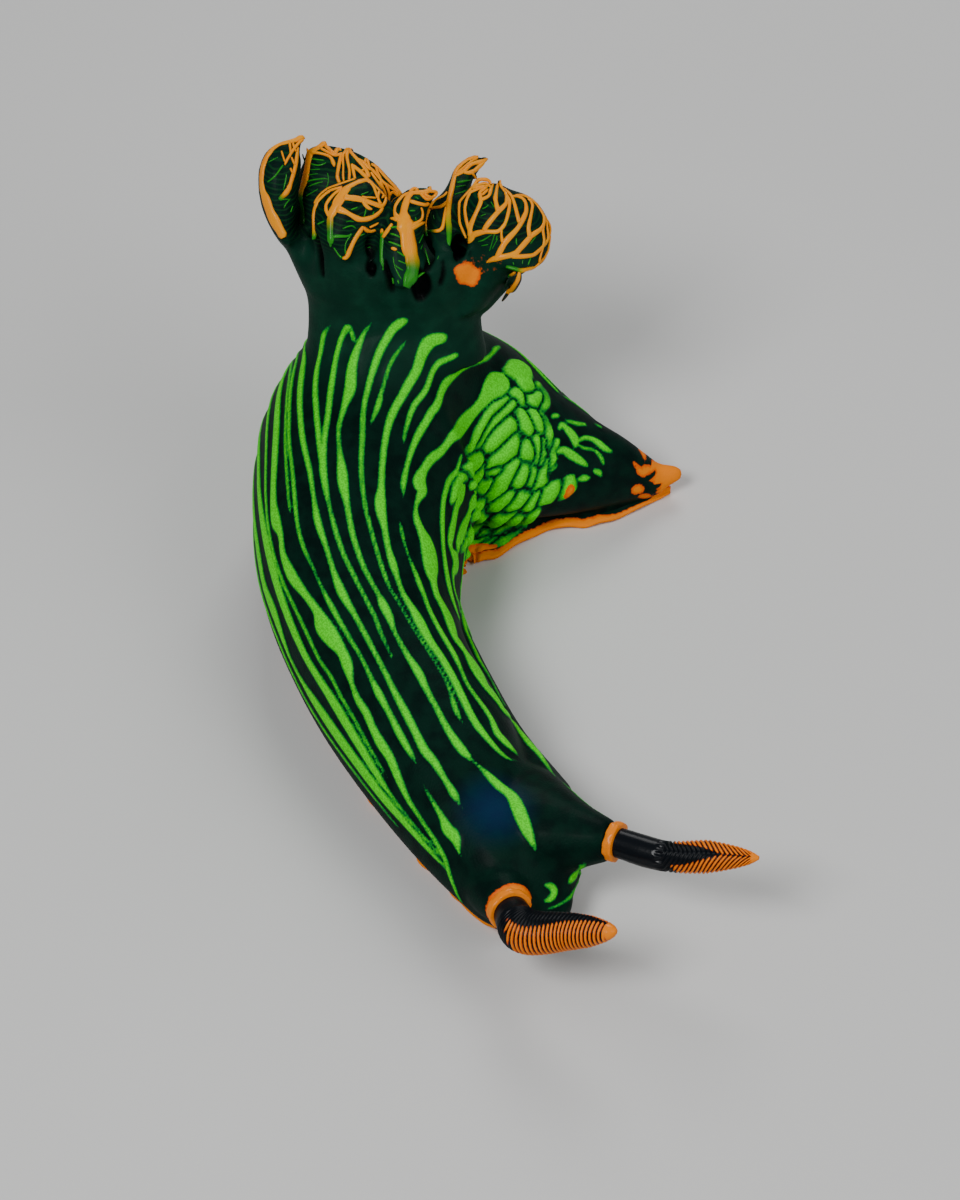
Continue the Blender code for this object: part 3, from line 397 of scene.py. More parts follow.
        (1, (470.6, 248, 2), (474, 252, 2.4), (476, 256, 1.6)),
    ),
}
# Trunks of each plume: bearing, height and half width of the foot on the rim, then the top's
# right, up, half width, depth and half thickness in the camera's view
TRUNKS = {
    "gill_plume_1": ((-80.0, 0.3, 2.7, -9.3, -2.6, 1.0, -0.4, 1.2),),
    "gill_plume_2": (
        (-142.0, 2.2, 2.9, -4.4, -2.7, 3.2, -3.4, 1.5), (-92.0, 1.0, 1.6, -8.2, -2.4, 0.5, -1.8, 0.8),
    ),
    "gill_plume_3": (
        (-40.0, 0.0, 3.6, -4.3, -3.9, 2.7, 2.4, 2.0), (-10.0, 0.5, 0.7, -1.2, -5.4, 0.4, 4.2, 0.6),
    ),
    "gill_plume_4": ((6.0, 0.2, 2.2, 1.1, -6.2, 2.1, 2.6, 1.6),),
    "gill_plume_5": (
        (34.0, 0.0, 1.9, 4.6, -4.2, 0.8, 2.6, 1.0), (134.0, 2.0, 2.6, 5.0, -3.4, 1.6, 0.6, 1.2),
    ),
    "gill_plume_6": (
        (74.0, -1.5, 2.9, 8.9, -5.1, 2.3, 1.4, 1.8), (50.0, 0.5, 1.2, 6.4, -4.1, 0.4, 2.6, 0.8),
        (92.0, -2.2, 1.3, 10.5, -5.9, 1.1, -0.2, 1.3),
    ),
}
# Half thickness of a trunk's foot
TRUNK_DEPTH = 1.0
# The low wall that joins the trunks: bearing round the rim and height, how far it reaches
# below the rim, how much it leans out, and its profile as share of the height and distance
# out from the rim
RIM_WALL = (
    (-180.0, 1.2), (-142.0, 2.0), (-110.0, 1.4), (-92.0, 1.8), (-62.0, 1.2), (-36.0, 2.0), (-20.0, 0.9),
    (-9.0, 0.3), (6.0, 0.5), (18.0, 0.5), (32.0, 1.4), (43.0, 0.3), (60.0, 1.2), (85.0, 0.8),
    (105.0, 0.4), (134.0, 1.4), (160.0, 0.6), (180.0, 1.2),
)
RIM_WALL_ROOT = 1.2
RIM_WALL_LEAN = 0.25
RIM_WALL_PROFILE = (
    (0.0, -0.1), (0.5, -0.25), (0.9, -0.5), (1.0, -0.9), (0.9, -1.3), (0.4, -1.5), (0.0, -1.6),
)
# The anal papilla: its foot in the gill's axes, height and radius
PAPILLA_FOOT = (0.6, -1.2, 2.0)
PAPILLA_RISE = 2.4
PAPILLA_RADIUS = 0.9

# Each horn (rhinophore): the sheath's middle line from inside the head as x, y, z, radius
# and flatness, then collar, knee and tip, the collar's radius, its number of plates over the
# panel's, how much they slant, the width of the orange band behind the collar, the radius
# along stalk and club by share of the length, the share where the plates begin, the turn
# where they meet, and the side that stays black as a turn and half width in degrees and the
# share of the club that it runs along
HORNS = {
    "left": {
        "sheath": (
            (8.6, -42.2, 5.2, 6.3, 0.60),
            (11.7, -43.9, 5.9, 5.9, 0.66),
            (14.6, -45.6, 6.8, 4.2, 0.80),
            (17.0, -46.8, 7.5, 2.8, 0.90),
        ),
        "collar": (19.7, -48.0, 8.3),
        "knee": (23.6, -50.1, 8.9),
        "tip": (31.3, -52.4, 11.2),
        "radius": 1.72,
        "plates": 1.0,
        "slant": 2.1,
        "band": 0.22,
        "profile": (
            (0.0, 1.25), (0.2, 1.32), (0.38, 1.26), (0.52, 1.46), (0.64, 1.50), (0.75, 1.24), (0.86, 0.92),
            (0.93, 0.62), (0.975, 0.38), (1.0, 0.12),
        ),
        "club": 0.36,
        "spine": 66.0,
        "dark": (62.0, 46.0, 0.62),
    },
    "right": {
        "sheath": (
            (9.9, -49.6, 4.8, 2.9, 0.80),
            (10.2, -50.8, 5.2, 2.7, 0.88),
            (10.5, -52.0, 5.6, 2.3, 0.95),
        ),
        "collar": (10.9, -53.5, 6.1),
        "knee": (12.3, -56.6, 6.9),
        "tip": (19.5, -59.8, 10.6),
        "radius": 1.88,
        "plates": 1.5,
        "slant": 0.35,
        "band": 0.9,
        "profile": (
            (0.0, 1.45), (0.14, 1.62), (0.28, 1.92), (0.4, 1.98), (0.55, 1.82), (0.7, 1.60), (0.84, 1.34),
            (0.92, 1.08), (0.965, 0.74), (0.99, 0.38), (1.0, 0.12),
        ),
        "club": 0.20,
        "spine": 112.0,
        "dark": (114.0, 54.0, 1.0),
    },
}
# Length of both collars, and how flat the clubs are
COLLAR_LENGTH = 0.75
CLUB_FLAT = 0.85

# The two lips: their radius, the distance between them and how far they reach back
LIP_RADIUS = 0.5
LIP_SPACING = 0.85
LIP_REACH = 0.55
# The flesh on the neck's inner side: points of its middle line and its radius
NECK = (
    (4.5, -14.5, 4.5, 1.7), (5.2, -19.9, 4.5, 2.2), (6.1, -22.8, 4.5, 2.25), (7.5, -26.4, 4.5, 2.2),
    (9.7, -31.6, 4.5, 2.1), (11.3, -35.1, 4.6, 2.2), (12.9, -38.3, 5.0, 2.3), (14.6, -41.4, 5.6, 2.2),
)
# Each oral tentacle's foot, tip and radius
ORAL_LOBES = {
    "left": ((16.1, -45.6, 3.5), (15.0, -49.2, 2.9), 1.3),
    "right": ((11.2, -50.2, 3.2), (10.6, -53.3, 2.7), 1.4),
}

# Green stripes: points along each one as distance from the snout in millimetres, turn
# from the top in degrees (+ on the outer side) and half width in degrees of turn
STRIPES = {
    "crest": (
        (12.6, -1.5, 1), (13.3, 0, 3), (14.2, 1.2, 3.6), (16, 2.4, 2.6), (18, 2, 2),
        (20, 1.4, 2.1), (22, 0.2, 3), (24, 0.5, 1.9), (26.5, 0.4, 1.4), (28, -0.4, 2.6),
        (29.3, 0, 3), (30.5, 0.6, 1.4), (33, 4, 1.5), (36, 6.3, 1.6), (39, 7, 1.6),
        (41, 8, 2.8), (42.2, 8.2, 2.6), (44, 9.2, 1.2), (46, 10, 1), (48, 8, 1.6),
        (49.5, 6.2, 2.8), (51, 6.2, 2.4), (52.3, 3.5, 1.2), (53, 1.5, 0.6),
    ),
    "crest_outer": (
        (24.5, 9.5, 0.6), (27, 8.4, 1.2), (28.5, 7.6, 1.3), (30.5, 8.8, 1.2), (32.5, 11, 1.3),
        (35, 14, 1.3), (37.5, 15.8, 1.3), (39.5, 16.8, 0.9), (41, 17.6, 1.6), (43, 18.3, 2),
        (45, 17.4, 1.4), (47.5, 16.1, 1.5), (50, 15.8, 1.6), (51.6, 15.2, 1.5), (52.6, 12, 1.2),
        (52.9, 10, 1), (52.2, 7.5, 0.9),
    ),
    "crest_fork": (
        (43, 18.6, 1.4), (46, 20.8, 1.5), (48, 22.8, 1.5), (50, 25, 1.5), (51.6, 25.8, 1.5),
        (52.6, 23, 1.2), (52.9, 20.5, 0.6),
    ),
    "outer_1": (
        (10, 24.6, 0.8), (10.8, 23.8, 3), (12.2, 23.2, 2.2), (14, 22.8, 3), (15.4, 24.2, 3.4),
        (17, 23, 2.8), (19, 21.6, 2.8), (21, 20.5, 2.2), (24, 18.5, 1.6), (27, 18, 1.7),
        (29.5, 19, 1.7), (32, 21.8, 2.8), (34, 22.6, 1.6), (36, 23, 1.4), (38.5, 24.7, 2.1),
        (40.5, 25, 1.2), (43, 26, 1.4), (46, 30, 1.6), (48.5, 32.8, 1.7), (51, 35.6, 2),
        (52.6, 39.5, 2), (53.6, 45, 2), (54.3, 52, 2), (55.5, 60, 2), (58, 64, 2),
        (61, 62, 2.4), (64, 54, 2.8), (67, 44, 3), (69.5, 34, 3.5), (71.5, 27, 2.5),
    ),
    "outer_2": (
        (15.3, 34.5, 0.8), (16.2, 34, 2.2), (18, 33, 2.6), (20, 31.2, 2), (22, 30, 2.6),
        (23.5, 29, 1.5), (25.5, 27.6, 1.2), (27.5, 28.2, 1.3), (30, 30, 1.6), (31.5, 31.4, 1.7),
        (33.5, 33.3, 0.8), (35.2, 34.6, 0.7), (37, 36.8, 1.2), (39, 37.6, 1.2), (41.5, 36.7, 1.3),
        (44, 37, 1.1), (46.5, 39, 1.1), (49, 40.3, 1.1), (51, 42.5, 1.1), (52.6, 47, 1.1),
        (53.8, 55, 1.2), (55, 64, 1.4), (58, 70, 1.8), (61, 70, 2), (64, 64, 2.4),
        (67, 56, 2.8), (69.5, 47, 3), (71.5, 40, 2),
    ),
    "outer_thread": (
        (41, 41, 0.8), (44, 41, 1), (47, 42, 1), (49.5, 43, 1), (51.3, 46, 1),
        (52.6, 52, 1), (53.6, 60, 1.2), (55, 70, 1.4), (58, 76, 1.5), (62, 77, 1.8),
        (66, 70, 2.2), (69, 61, 2.4), (71, 54, 1.5),
    ),
    "outer_3": (
        (5.8, 98, 1.5), (6.4, 88, 2.4), (7.2, 78, 2.6), (8, 69, 2.4), (9.5, 63.5, 2.2),
        (11.5, 60.5, 1.8), (13.5, 58, 2.4), (15.3, 53.5, 3.4), (17, 49.5, 3.6), (18.6, 49, 3.8),
        (20, 47.5, 3), (21.5, 45.2, 3), (23, 45, 2.4), (24.5, 42.5, 1.8), (26, 38.8, 4),
        (27.5, 37.6, 3.8), (29.3, 40, 6), (30.6, 42, 6), (32, 42, 3), (34, 46, 2.6),
        (36, 50.6, 3.8), (38, 52.6, 2.4), (39.6, 51, 2.2), (41, 53, 4), (42.5, 53.2, 3),
        (44, 52, 2.6), (46, 50.3, 2.8), (48.5, 49.8, 2.8), (50.5, 52, 2.4), (52.4, 57, 2.2),
        (54, 64, 2.2), (56, 73, 2.2), (59, 80, 2.4), (62, 82, 2.6), (65, 78, 2.8),
        (68, 68, 3), (70.5, 58, 2.8), (72.5, 50, 1.5),
    ),
    "outer_4": (
        (16.8, 61, 0.8), (19, 59, 1.2), (22, 56, 1.2), (24.5, 55.2, 1.3), (26.5, 54, 1.4),
        (28.5, 55.8, 1.3), (31, 56, 1.4), (33.5, 57, 1.3), (36, 59, 1.3), (38.5, 60.2, 1.2),
        (41, 60.5, 1.2), (44, 60, 1.3), (47, 59, 1.4), (50, 61, 1.6), (52.5, 67, 1.8),
        (55, 77, 2), (58, 86, 2.2), (62, 90, 2.4), (66, 84, 2.6), (69, 75, 2.6),
        (71.5, 66, 1.8),
    ),
    "outer_5": (
        (8.2, 70, 1), (12, 70, 1.2), (15, 69.3, 1.6), (17, 68, 3.2), (20, 65.5, 4),
        (24, 63.5, 4.2), (27, 64, 3.4), (30, 66, 3.2), (33, 66.2, 3.6), (36, 65.5, 3.8),
        (39, 64.8, 4), (42, 66, 3.4), (45, 68, 2.8), (48, 70, 2.6), (51, 76, 2.4),
        (54, 86, 2.4), (58, 95, 2.6), (62, 99, 2.8), (66, 94, 2.8), (69, 86, 2.6),
        (71.5, 78, 1.6),
    ),
    "outer_6": (
        (7.6, 76, 1.4), (10, 76, 2.8), (13, 76.5, 4), (16, 78, 5), (20, 78.5, 5.4),
        (24, 79.5, 5.4), (27, 81, 4.6), (29.5, 83, 2.6), (32, 84, 2), (33.8, 82, 3.2),
        (36, 79.5, 5), (38.5, 81, 4), (41, 79, 4), (44, 80, 3.4), (47, 83, 3.2),
        (50, 89, 3), (53, 98, 3), (57, 106, 3), (61, 109, 3),
        (65, 105, 2.8), (69, 97, 2.4), (72, 90, 1.4),
    ),
    "outer_7": (
        (14, 88, 1), (20, 89, 1.6), (30, 92, 1.8), (36, 90, 2), (42, 92, 2.2),
        (47, 96, 2.4), (50, 103, 2.4), (54, 111, 2.4), (58, 117, 2.2),
        (63, 118, 2), (68, 110, 1.6), (71, 104, 1),
    ),
    "inner_1": (
        (16.5, -8.6, 0.8), (17.3, -8.8, 1.9), (18.3, -10, 1.6), (19.5, -12.3, 1), (21.5, -13.6, 0.8),
        (24, -13.2, 0.8), (26.5, -11.6, 0.8), (29, -10, 0.8), (30.5, -7.6, 0.9), (32, -6.2, 1.3),
        (34, -5, 1.2), (36.5, -3.4, 1.1), (39, -1.8, 1.1), (42, -1.2, 1.2), (45, -1.5, 1.3),
        (48, -1, 1.2), (50, -2, 1.4), (52, -5, 1.8), (53.5, -8.4, 2), (55, -11, 2.2),
        (56.2, -11.2, 1.6), (56.9, -9.6, 0.6),
    ),
    "inner_thread": (
        (46.8, -5.5, 0.6), (48.5, -7.5, 1.4), (50, -8.4, 0.8), (52, -11, 0.8), (53.6, -15, 0.6),
    ),
    "inner_2": (
        (11.9, -38, 0.6), (12, -33, 1.2), (12.4, -29, 2.2), (13.2, -25, 2.6), (14.3, -21.5, 3),
        (15.6, -18.6, 3.4), (17, -17.8, 3.2), (19, -18.6, 3.2), (21, -19.8, 3.2), (23, -20, 3.2),
        (25, -18.6, 3.4), (27, -18.4, 4), (28.2, -17.6, 3), (30, -14.8, 1.9), (31.5, -13.8, 1.7),
        (33, -13, 2.6), (34.5, -11.8, 1.9), (36.5, -11.2, 1.9), (38, -10.2, 3), (39.2, -10.2, 3),
        (40.6, -11.2, 1.8), (43, -12, 1.6), (46, -13.4, 1.7), (48, -15, 2), (50, -17.8, 2),
        (52, -21, 2.2), (54, -24.4, 2.4), (56, -25.4, 3), (57.6, -24, 3.4), (59, -22.4, 3),
        (60.2, -20.4, 2.2), (61.4, -16.5, 1.4), (62.2, -12, 0.8),
    ),
    "inner_2_thread": (
        (45.8, -22.8, 0.7), (48, -23.6, 1.2), (50, -25, 1.4), (52, -28, 1.4), (54, -31, 1.4),
        (56, -32.2, 1.5), (58, -31, 1.5), (60, -28, 1.4), (61.6, -22, 1.2), (62.8, -14, 1),
        (63.5, -7, 0.6),
    ),
    "inner_4": (
        (40.3, -23.6, 0.7), (41.2, -23.8, 1.6), (43, -25.6, 1.3), (45, -28, 1.6), (47, -30.6, 2),
        (49, -33, 2), (51, -35, 2), (53, -37.6, 2), (55, -39.4, 2), (57, -39, 2.2),
        (59, -36.4, 2.4), (60.6, -33, 2.4), (62, -28.6, 2.4), (63.4, -22, 2.2), (64.6, -13, 1.8),
        (65.4, -3, 1.4), (65.8, 6, 1.2), (66, 14, 1.6), (66.2, 20, 1),
    ),
    "inner_low": (
        (24, -103, 2.4), (30, -106, 3), (38, -108, 3.4), (48, -110, 3.6),
        (56, -109, 2.6),
    ),
    "inner_lowest": ((30, -122, 2.6), (40, -124, 3.4), (50, -124, 3.4), (56, -121, 2.4)),
    "head_top": (
        (3.9, -7, 3), (5, -9, 5.6), (6.4, -12, 6), (7.6, -14.5, 5.4), (8.6, -14.5, 4.6),
        (9.6, -10.5, 4.4), (10.8, -7, 3), (11.7, -4.6, 1.2), (12.4, -3, 0.6),
    ),
    "head_outer": (
        (7.3, 51.5, 1.5), (8.2, 46, 5), (9.2, 46.5, 5), (10.2, 43.5, 2.6), (12.6, 40.5, 0.8),
    ),
    "tail_8": ((72.5, 30, 2), (73.5, 38, 3), (74.5, 42, 2)),
    "tail_9": ((72.6, 62, 3), (74, 66, 3), (75, 64, 1.5)),
    "tail_10": ((73, 88, 2.5), (74.5, 92, 2)),
}
# Orange marks on the skin, as the stripes
ORANGE_MARKS = {
    "far_low": ((79.2, 84, 8), (79.2, 74, 12), (79.2, 64, 8)),
    "far_high": ((79.7, 35, 6), (79.8, 22, 12), (79.9, 8, 8)),
}
# Strokes traced as pixels right and down in the photo and the full width in pixels:
# the raised folds on the hump's inner side, the flat stripes round the inner bend, neck,
# sheath and lip, the green and the orange marks on the tail, and the slots between the
# gill's trunks, which are dented and painted with shade
FOLDS = (
    ((504, 375, 4), (510, 372.5, 7), (516, 371, 11), (521, 374.5, 15), (525, 380, 16), (527, 386, 9)),
    ((529, 381, 4), (534, 384, 5), (539, 389, 6), (543, 395, 6), (544, 402, 5), (542, 407, 3)),
    ((508, 391, 4), (513, 393.5, 7), (518, 397.5, 7.5), (523, 402.5, 6), (526.5, 407, 3)),
    ((526, 403, 4), (531, 401.5, 8), (536, 398.5, 9), (540, 394.5, 7), (540, 391, 4)),
    ((464, 462, 2.5), (469, 450, 4.5), (474, 440, 6.5), (479, 430, 7), (483.5, 421, 7), (487, 413, 7),
        (492, 407.5, 8), (499, 403.5, 6.5), (506, 398.5, 4.5)),
    ((474, 448, 3), (480, 441, 5), (486, 432.5, 6.5), (492, 425, 6.5), (499, 418, 7), (506, 411, 7),
        (511, 405, 6), (514, 402, 3)),
    ((484, 456, 4), (487, 448, 9), (492, 440, 13), (498.5, 433, 13), (505, 427, 13), (511, 422, 12),
        (515, 418, 7)),
    ((514, 418, 6), (518.5, 416.5, 11), (523.5, 420.5, 13), (527.5, 427, 10), (529, 433, 4)),
    ((529, 411, 5), (533, 415.5, 9.5), (537.5, 421, 12), (540.5, 427, 9), (541, 432, 4)),
    ((540, 414, 4), (544, 423, 6), (547, 433, 6.5), (547.5, 442, 5.5), (546, 448, 4)),
    ((463, 471, 4), (468.5, 466, 9), (475, 461.5, 11.5), (481, 457.5, 9), (485, 455, 4)),
    ((486, 467, 5), (491, 463, 10.5), (498, 459.5, 12.5), (505, 454.5, 13), (511.5, 448.5, 12.5),
        (516.5, 442.5, 11), (519.5, 438.5, 5)),
    ((521, 441, 6), (524.5, 447, 12.5), (528.5, 453, 15), (530, 458.5, 9)),
    ((451, 500, 4), (454.5, 492.5, 9.5), (458.5, 484.5, 12.5), (462.5, 477, 10), (465.5, 471.5, 4)),
    ((470, 485, 2.5), (474.5, 478, 5.5), (479.5, 471.5, 7), (483.5, 464.5, 5)),
    ((476, 493, 5), (479.5, 489.5, 10), (484, 484.5, 12), (488.5, 479.5, 9)),
    ((486, 478, 4), (490, 473, 9), (495, 470.5, 9), (500, 470, 6)),
    ((489, 500, 5), (493.5, 493.5, 12), (499.5, 485.5, 17), (505.5, 477.5, 18), (510.5, 469.5, 14),
        (514.5, 462.5, 7)),
    ((511, 484, 6), (516, 480, 12), (520.5, 475.5, 14), (524.5, 469.5, 11), (527, 463.5, 5)),
    ((529.5, 462, 4), (532, 469, 6.5), (532, 478, 6.5), (530, 486, 5), (528, 491, 3)),
    ((534, 488, 4.5), (538.5, 482, 9), (542.5, 475, 10), (545, 467, 8), (546, 459.5, 5)),
    ((548, 473, 3.5), (550.5, 465.5, 6.5), (553, 457.5, 7.5), (555, 450, 7), (556.5, 443.5, 4)),
    ((468, 519, 3.5), (472.5, 513, 6), (478, 506.5, 6.5), (483, 500.5, 4.5)),
    ((470, 530, 3), (474, 523.5, 6), (479, 517.5, 6.5), (483.5, 511, 5), (486, 506, 3)),
    ((486, 511, 4), (491, 506, 8), (497, 502.5, 12), (503, 499, 13), (507, 494, 8), (509, 490, 4)),
    ((507, 512, 4), (512, 506.5, 9), (518, 501.5, 10.5), (524, 496, 9.5), (528.5, 490, 5)),
    ((523, 513, 3.5), (527, 507.5, 7), (531.5, 501.5, 8.5), (535.5, 495.5, 7), (538, 490.5, 3.5)),
    ((539, 502, 4), (543.5, 497.5, 8), (549.5, 493, 14.5), (555, 490, 14), (558.5, 485.5, 7)),
    ((560, 495, 6), (564, 489.5, 11.5), (569, 484, 12), (573, 481.5, 6)),
    ((460, 547, 3.5), (465, 539.5, 6.5), (471, 532.5, 7.5), (477, 527, 6.5), (482, 521, 4)),
    ((476, 538, 3), (481.5, 534.5, 6), (488, 530.5, 7.5), (494, 526.5, 7), (499.5, 522.5, 4)),
    ((487, 526, 3), (493.5, 521.5, 6.5), (500.5, 517.5, 7.5), (507.5, 514, 7), (514, 511, 4)),
    ((494, 535, 3), (501, 529.5, 7), (508.5, 524.5, 8.5), (516, 518.5, 8), (522.5, 513, 5)),
    ((504, 535, 3), (512.5, 529, 5), (521, 522.5, 6), (529, 515.5, 5.5), (535.5, 510, 3)),
    ((465, 554, 3), (470, 548.5, 5.5), (476, 543.5, 6), (483, 539.5, 5), (489, 537, 3)),
    ((478, 551, 3), (484, 546, 5.5), (490.5, 542, 5.5), (497, 538, 4)),
    ((487, 549, 2.5), (495, 543.5, 4.5), (504, 538.5, 5), (513, 533, 4), (520, 528, 2.5)),
    ((536, 440, 8), (537, 450, 9), (535.5, 461, 7)),
    ((543.5, 441, 6), (543, 452, 7), (541, 463, 6)),
)
BEND_STRIPES = (
    ((501.5, 382, 15), (496, 384.5, 19), (490, 389.5, 16), (485, 397, 12), (480, 404, 9.5), (473, 412, 9),
        (466, 420, 9.5), (459, 429, 9), (453, 436, 9.5), (446, 445, 8), (440, 452, 8), (431, 459, 8.5),
        (424, 469, 8), (420, 478, 11), (419.4, 484.4, 13.5), (421.7, 491, 10), (417.8, 500, 5.5),
        (415.5, 509, 4.5), (416.7, 520, 7.5), (421, 531, 9), (426, 542, 13), (429, 553.4, 15),
        (430.5, 564.5, 14.5), (431, 573.4, 11), (433.4, 583.4, 7), (436.7, 595.5, 6.5), (442.8, 606.7, 7),
        (447.8, 616.7, 9), (451, 626.7, 8), (454, 636, 6), (458.6, 643, 7), (465.7, 653, 6),
        (473, 664, 10.5), (478.6, 674.3, 11), (485, 685.7, 8), (491.4, 693, 9.5), (498, 702, 8),
        (504.3, 711.4, 6.5), (511, 721, 4.5), (517, 728.5, 4.5), (524, 737.5, 5.5), (531, 745.5, 6),
        (537, 752, 5), (543, 760, 3.5), (549, 769, 2.5), (555, 776.5, 1.5)),
    ((400, 522, 2), (402, 534, 4), (405, 546, 3), (409, 558, 3), (414.4, 571, 4.5), (419, 583.4, 5.5),
        (424.4, 597, 4.5), (428.6, 608.6, 4.5), (438.6, 628.6, 5), (447, 643, 5), (454.3, 655.7, 5),
        (461.4, 671.4, 3.5), (467, 684, 4), (475.7, 697, 4.5), (484.3, 708.6, 5), (491.4, 720, 5),
        (497, 733, 7), (504.3, 741.4, 7), (511.4, 748.6, 4.5), (517, 754.3, 2)),
    ((461, 456, 3), (458, 465, 4), (455.5, 472, 4.5), (449, 480, 5), (445.5, 490, 5), (443, 502, 5),
        (442, 518, 5.5), (442.2, 534, 5), (442.8, 545.5, 4.5), (444, 557, 4.5), (445.5, 568, 5),
        (447.8, 582, 6), (451, 595.5, 6), (455.5, 610, 4.5), (459, 620, 2.5)),
    ((462, 480, 3), (461, 487, 9), (459.5, 493, 10.5), (457, 503, 6), (454.5, 515, 5.5), (452.5, 526, 6),
        (450.5, 535, 6.5), (449.5, 544, 5), (452, 553, 5), (455.3, 561, 10), (454.5, 568, 7),
        (452.5, 574, 4), (454, 590, 3.5), (458, 603, 3), (461, 613, 2.5)),
    ((477, 494, 4), (474, 501, 9), (470, 511, 8), (466.5, 520, 7.5), (463, 528, 8), (460.5, 535, 8.5),
        (457.5, 544, 6.5), (457.5, 551, 3.5)),
    ((465, 533, 3), (464.5, 545, 4), (463.5, 557, 4), (462, 568, 3.5), (461, 579, 3.5), (459.8, 590, 4),
        (459.8, 600, 3.5)),
    ((461, 611, 3), (463, 620, 4), (465.5, 630, 3.5), (469.5, 639, 3), (474, 649, 3), (479, 660, 3),
        (485, 670, 2.5), (491, 680, 2), (497, 692, 2), (505, 706, 1.5)),
    ((563, 783, 2), (572, 791.5, 2.5), (582, 798.5, 2.5), (592, 805, 2), (602, 812, 1.5), (608, 816.5, 1)),
    ((585, 863, 2), (582, 874, 2.5), (578, 884, 2.5), (572, 894, 2.5), (565, 901, 2.5), (556, 906, 2.5),
        (547, 909, 2)),
    ((582, 865, 3), (577, 870, 5), (573, 876, 6), (569, 882, 3)),
    ((546, 885, 4), (551, 886.5, 7), (554, 891.5, 8), (551, 898, 7), (545.5, 900.5, 4)),
)
TAIL_MARKS = (
    ((552, 417, 3), (556, 415.5, 4), (559, 416, 2)),
    ((559, 428, 4), (562, 425, 5), (566, 429, 7), (571, 434, 9), (574.5, 440, 9), (574.5, 446, 4)),
    ((566, 421, 2.5), (572, 422.5, 3.5), (578, 424, 3.5), (585, 424.5, 2.5)),
    ((578, 441, 3), (584, 438, 4), (591, 439, 5), (598, 443, 7), (604, 448, 7), (611, 451.5, 3.5)),
    ((579, 446, 3), (585, 448.5, 3.5), (592, 449.5, 3), (597, 453, 4), (601, 458, 5), (603, 464, 3)),
    ((557, 452, 5), (563, 450, 7), (569, 453.5, 9), (576, 458, 8.5), (582, 462, 7), (587, 465.5, 3)),
    ((595, 471, 5), (599, 472.5, 6), (601, 476, 2.5)),
    ((579, 479, 4), (584, 478, 7), (589, 478, 3)),
    ((552, 470, 2.5), (555, 467, 3.5), (557, 463, 2)),
    ((596, 425, 2), (600, 427, 2.5)),
)
TAIL_ORANGE = (
    ((566.5, 494, 6), (568, 489.5, 8), (568.5, 485, 5)),
    ((634, 489.5, 5), (637.5, 489.5, 9), (641.5, 490, 5)),
    ((641, 496, 3), (645, 496.5, 4.5), (650, 497, 3)),
    ((634.5, 463, 3), (638, 468, 5), (642, 472, 8), (646, 470, 8), (651, 469, 5)),
    ((476, 559, 6.5), (483, 555.5, 6.5), (489, 551.5, 6), (495, 546.5, 4)),
)
GILL_SLOTS = (
    ((370, 262, 5), (370.5, 268, 9), (371, 274, 6)),
    ((369, 240, 3), (370, 248, 6), (371, 256, 5)),
    ((316, 238, 3), (318, 250, 5), (320, 262, 4), (322, 276, 2)),
    ((384, 262, 4), (386, 272, 6), (389, 282, 5), (392, 291, 3)),
    ((419, 270, 4), (421, 280, 10), (422, 289, 16), (421, 297, 10)),
    ((429, 244, 3), (431, 252, 6), (430, 262, 5), (427, 272, 4)),
    ((458, 236, 4), (459, 244, 8), (459, 253, 6), (458, 260, 3)),
    ((443, 262, 2), (444, 272, 3), (441, 284, 3)),
)
# How squarely the skin is seen at least, and the power that widens a slanted stroke
LEAST_SLANT = 0.42
SLANT_POWER = 0.85
# A stroke's point that misses the skin, or meets it below this height, is moved by steps of
# this size in these directions until it meets the skin, at most this far
FLOOR_MARGIN = 0.3
MISS_STEP = 0.5
MISS_TURNS = ((-1.0, 0.0), (-0.8, -0.6), (-0.8, 0.6), (0.0, -1.0), (0.0, 1.0))
MISS_REACH = 14.0
# Where the tail's orange end starts along the body, and by how much later half way up its
# side, with the height and the spread of that bump
ORANGE_TAIL_START = 80.7
ORANGE_TAIL_BUMP = (0.6, 1.9, 0.8)
# How deep the gill's slots are, and how far the skin's shelf lies inside and above the foot
SLOT_DEPTH = 0.8
SHELF_INSET = 0.75
SHELF_LIFT = 0.22
# Step between samples of a mark, how far stripes and folds spread past their widths, the
# half width of a crease, and how far a mark reaches over and through the skin
SAMPLE_STEP = 0.2
STRIPE_SPREAD = 0.06
FOLD_SPREAD = 0.32
CREASE = 0.08
REACH = 2.4
THROUGH = 1.2
# The orange spot on the gill as right, up and radius in the camera's view of the gill, and
# the speckles beside it as right, up and both half widths
GILL_SPOT = (6.30, -6.35, 1.10)
GILL_HAZE = (7.6, -5.4, 1.9, 0.8)
# Where the foot starts along the body, and the waves of its edge: share of the width, length
# and starting turn in radians on each side
FOOT_START = 1.7
FOOT_WAVES = ((0.018, 5.5, 1.0), (0.012, 2.3, 2.0))
# The places and spreads where the outer side peeps out from under the body, how far it is
# tucked in elsewhere, from where to where, and over what lengths that begins and ends
FOOT_PEEPS = ((13.0, 1.2), (20.5, 1.6))
FOOT_TUCK = 0.75
FOOT_TUCK_SPAN = (8.0, 52.0)
FOOT_TUCK_RUNS = (3.0, 5.0)
# How far in from the edge each point of the foot's outline counts for the orange margin,
# from the sole up to the shelf
FOOT_INWARD = (0.9, 0.28, 0.08, 0.0, 0.08, 0.28, 0.9, 1.2, 2.0, 3.0)
# Width of the orange margin, and what it loses and gains towards the tail's tip, as amount,
# distance from the tip and the length that it takes
MARGIN_WIDTH = 0.75
MARGIN_NARROWING = (0.30, 9.0, 4.0)
MARGIN_WIDENING = (2.6, 3.4, 1.4)
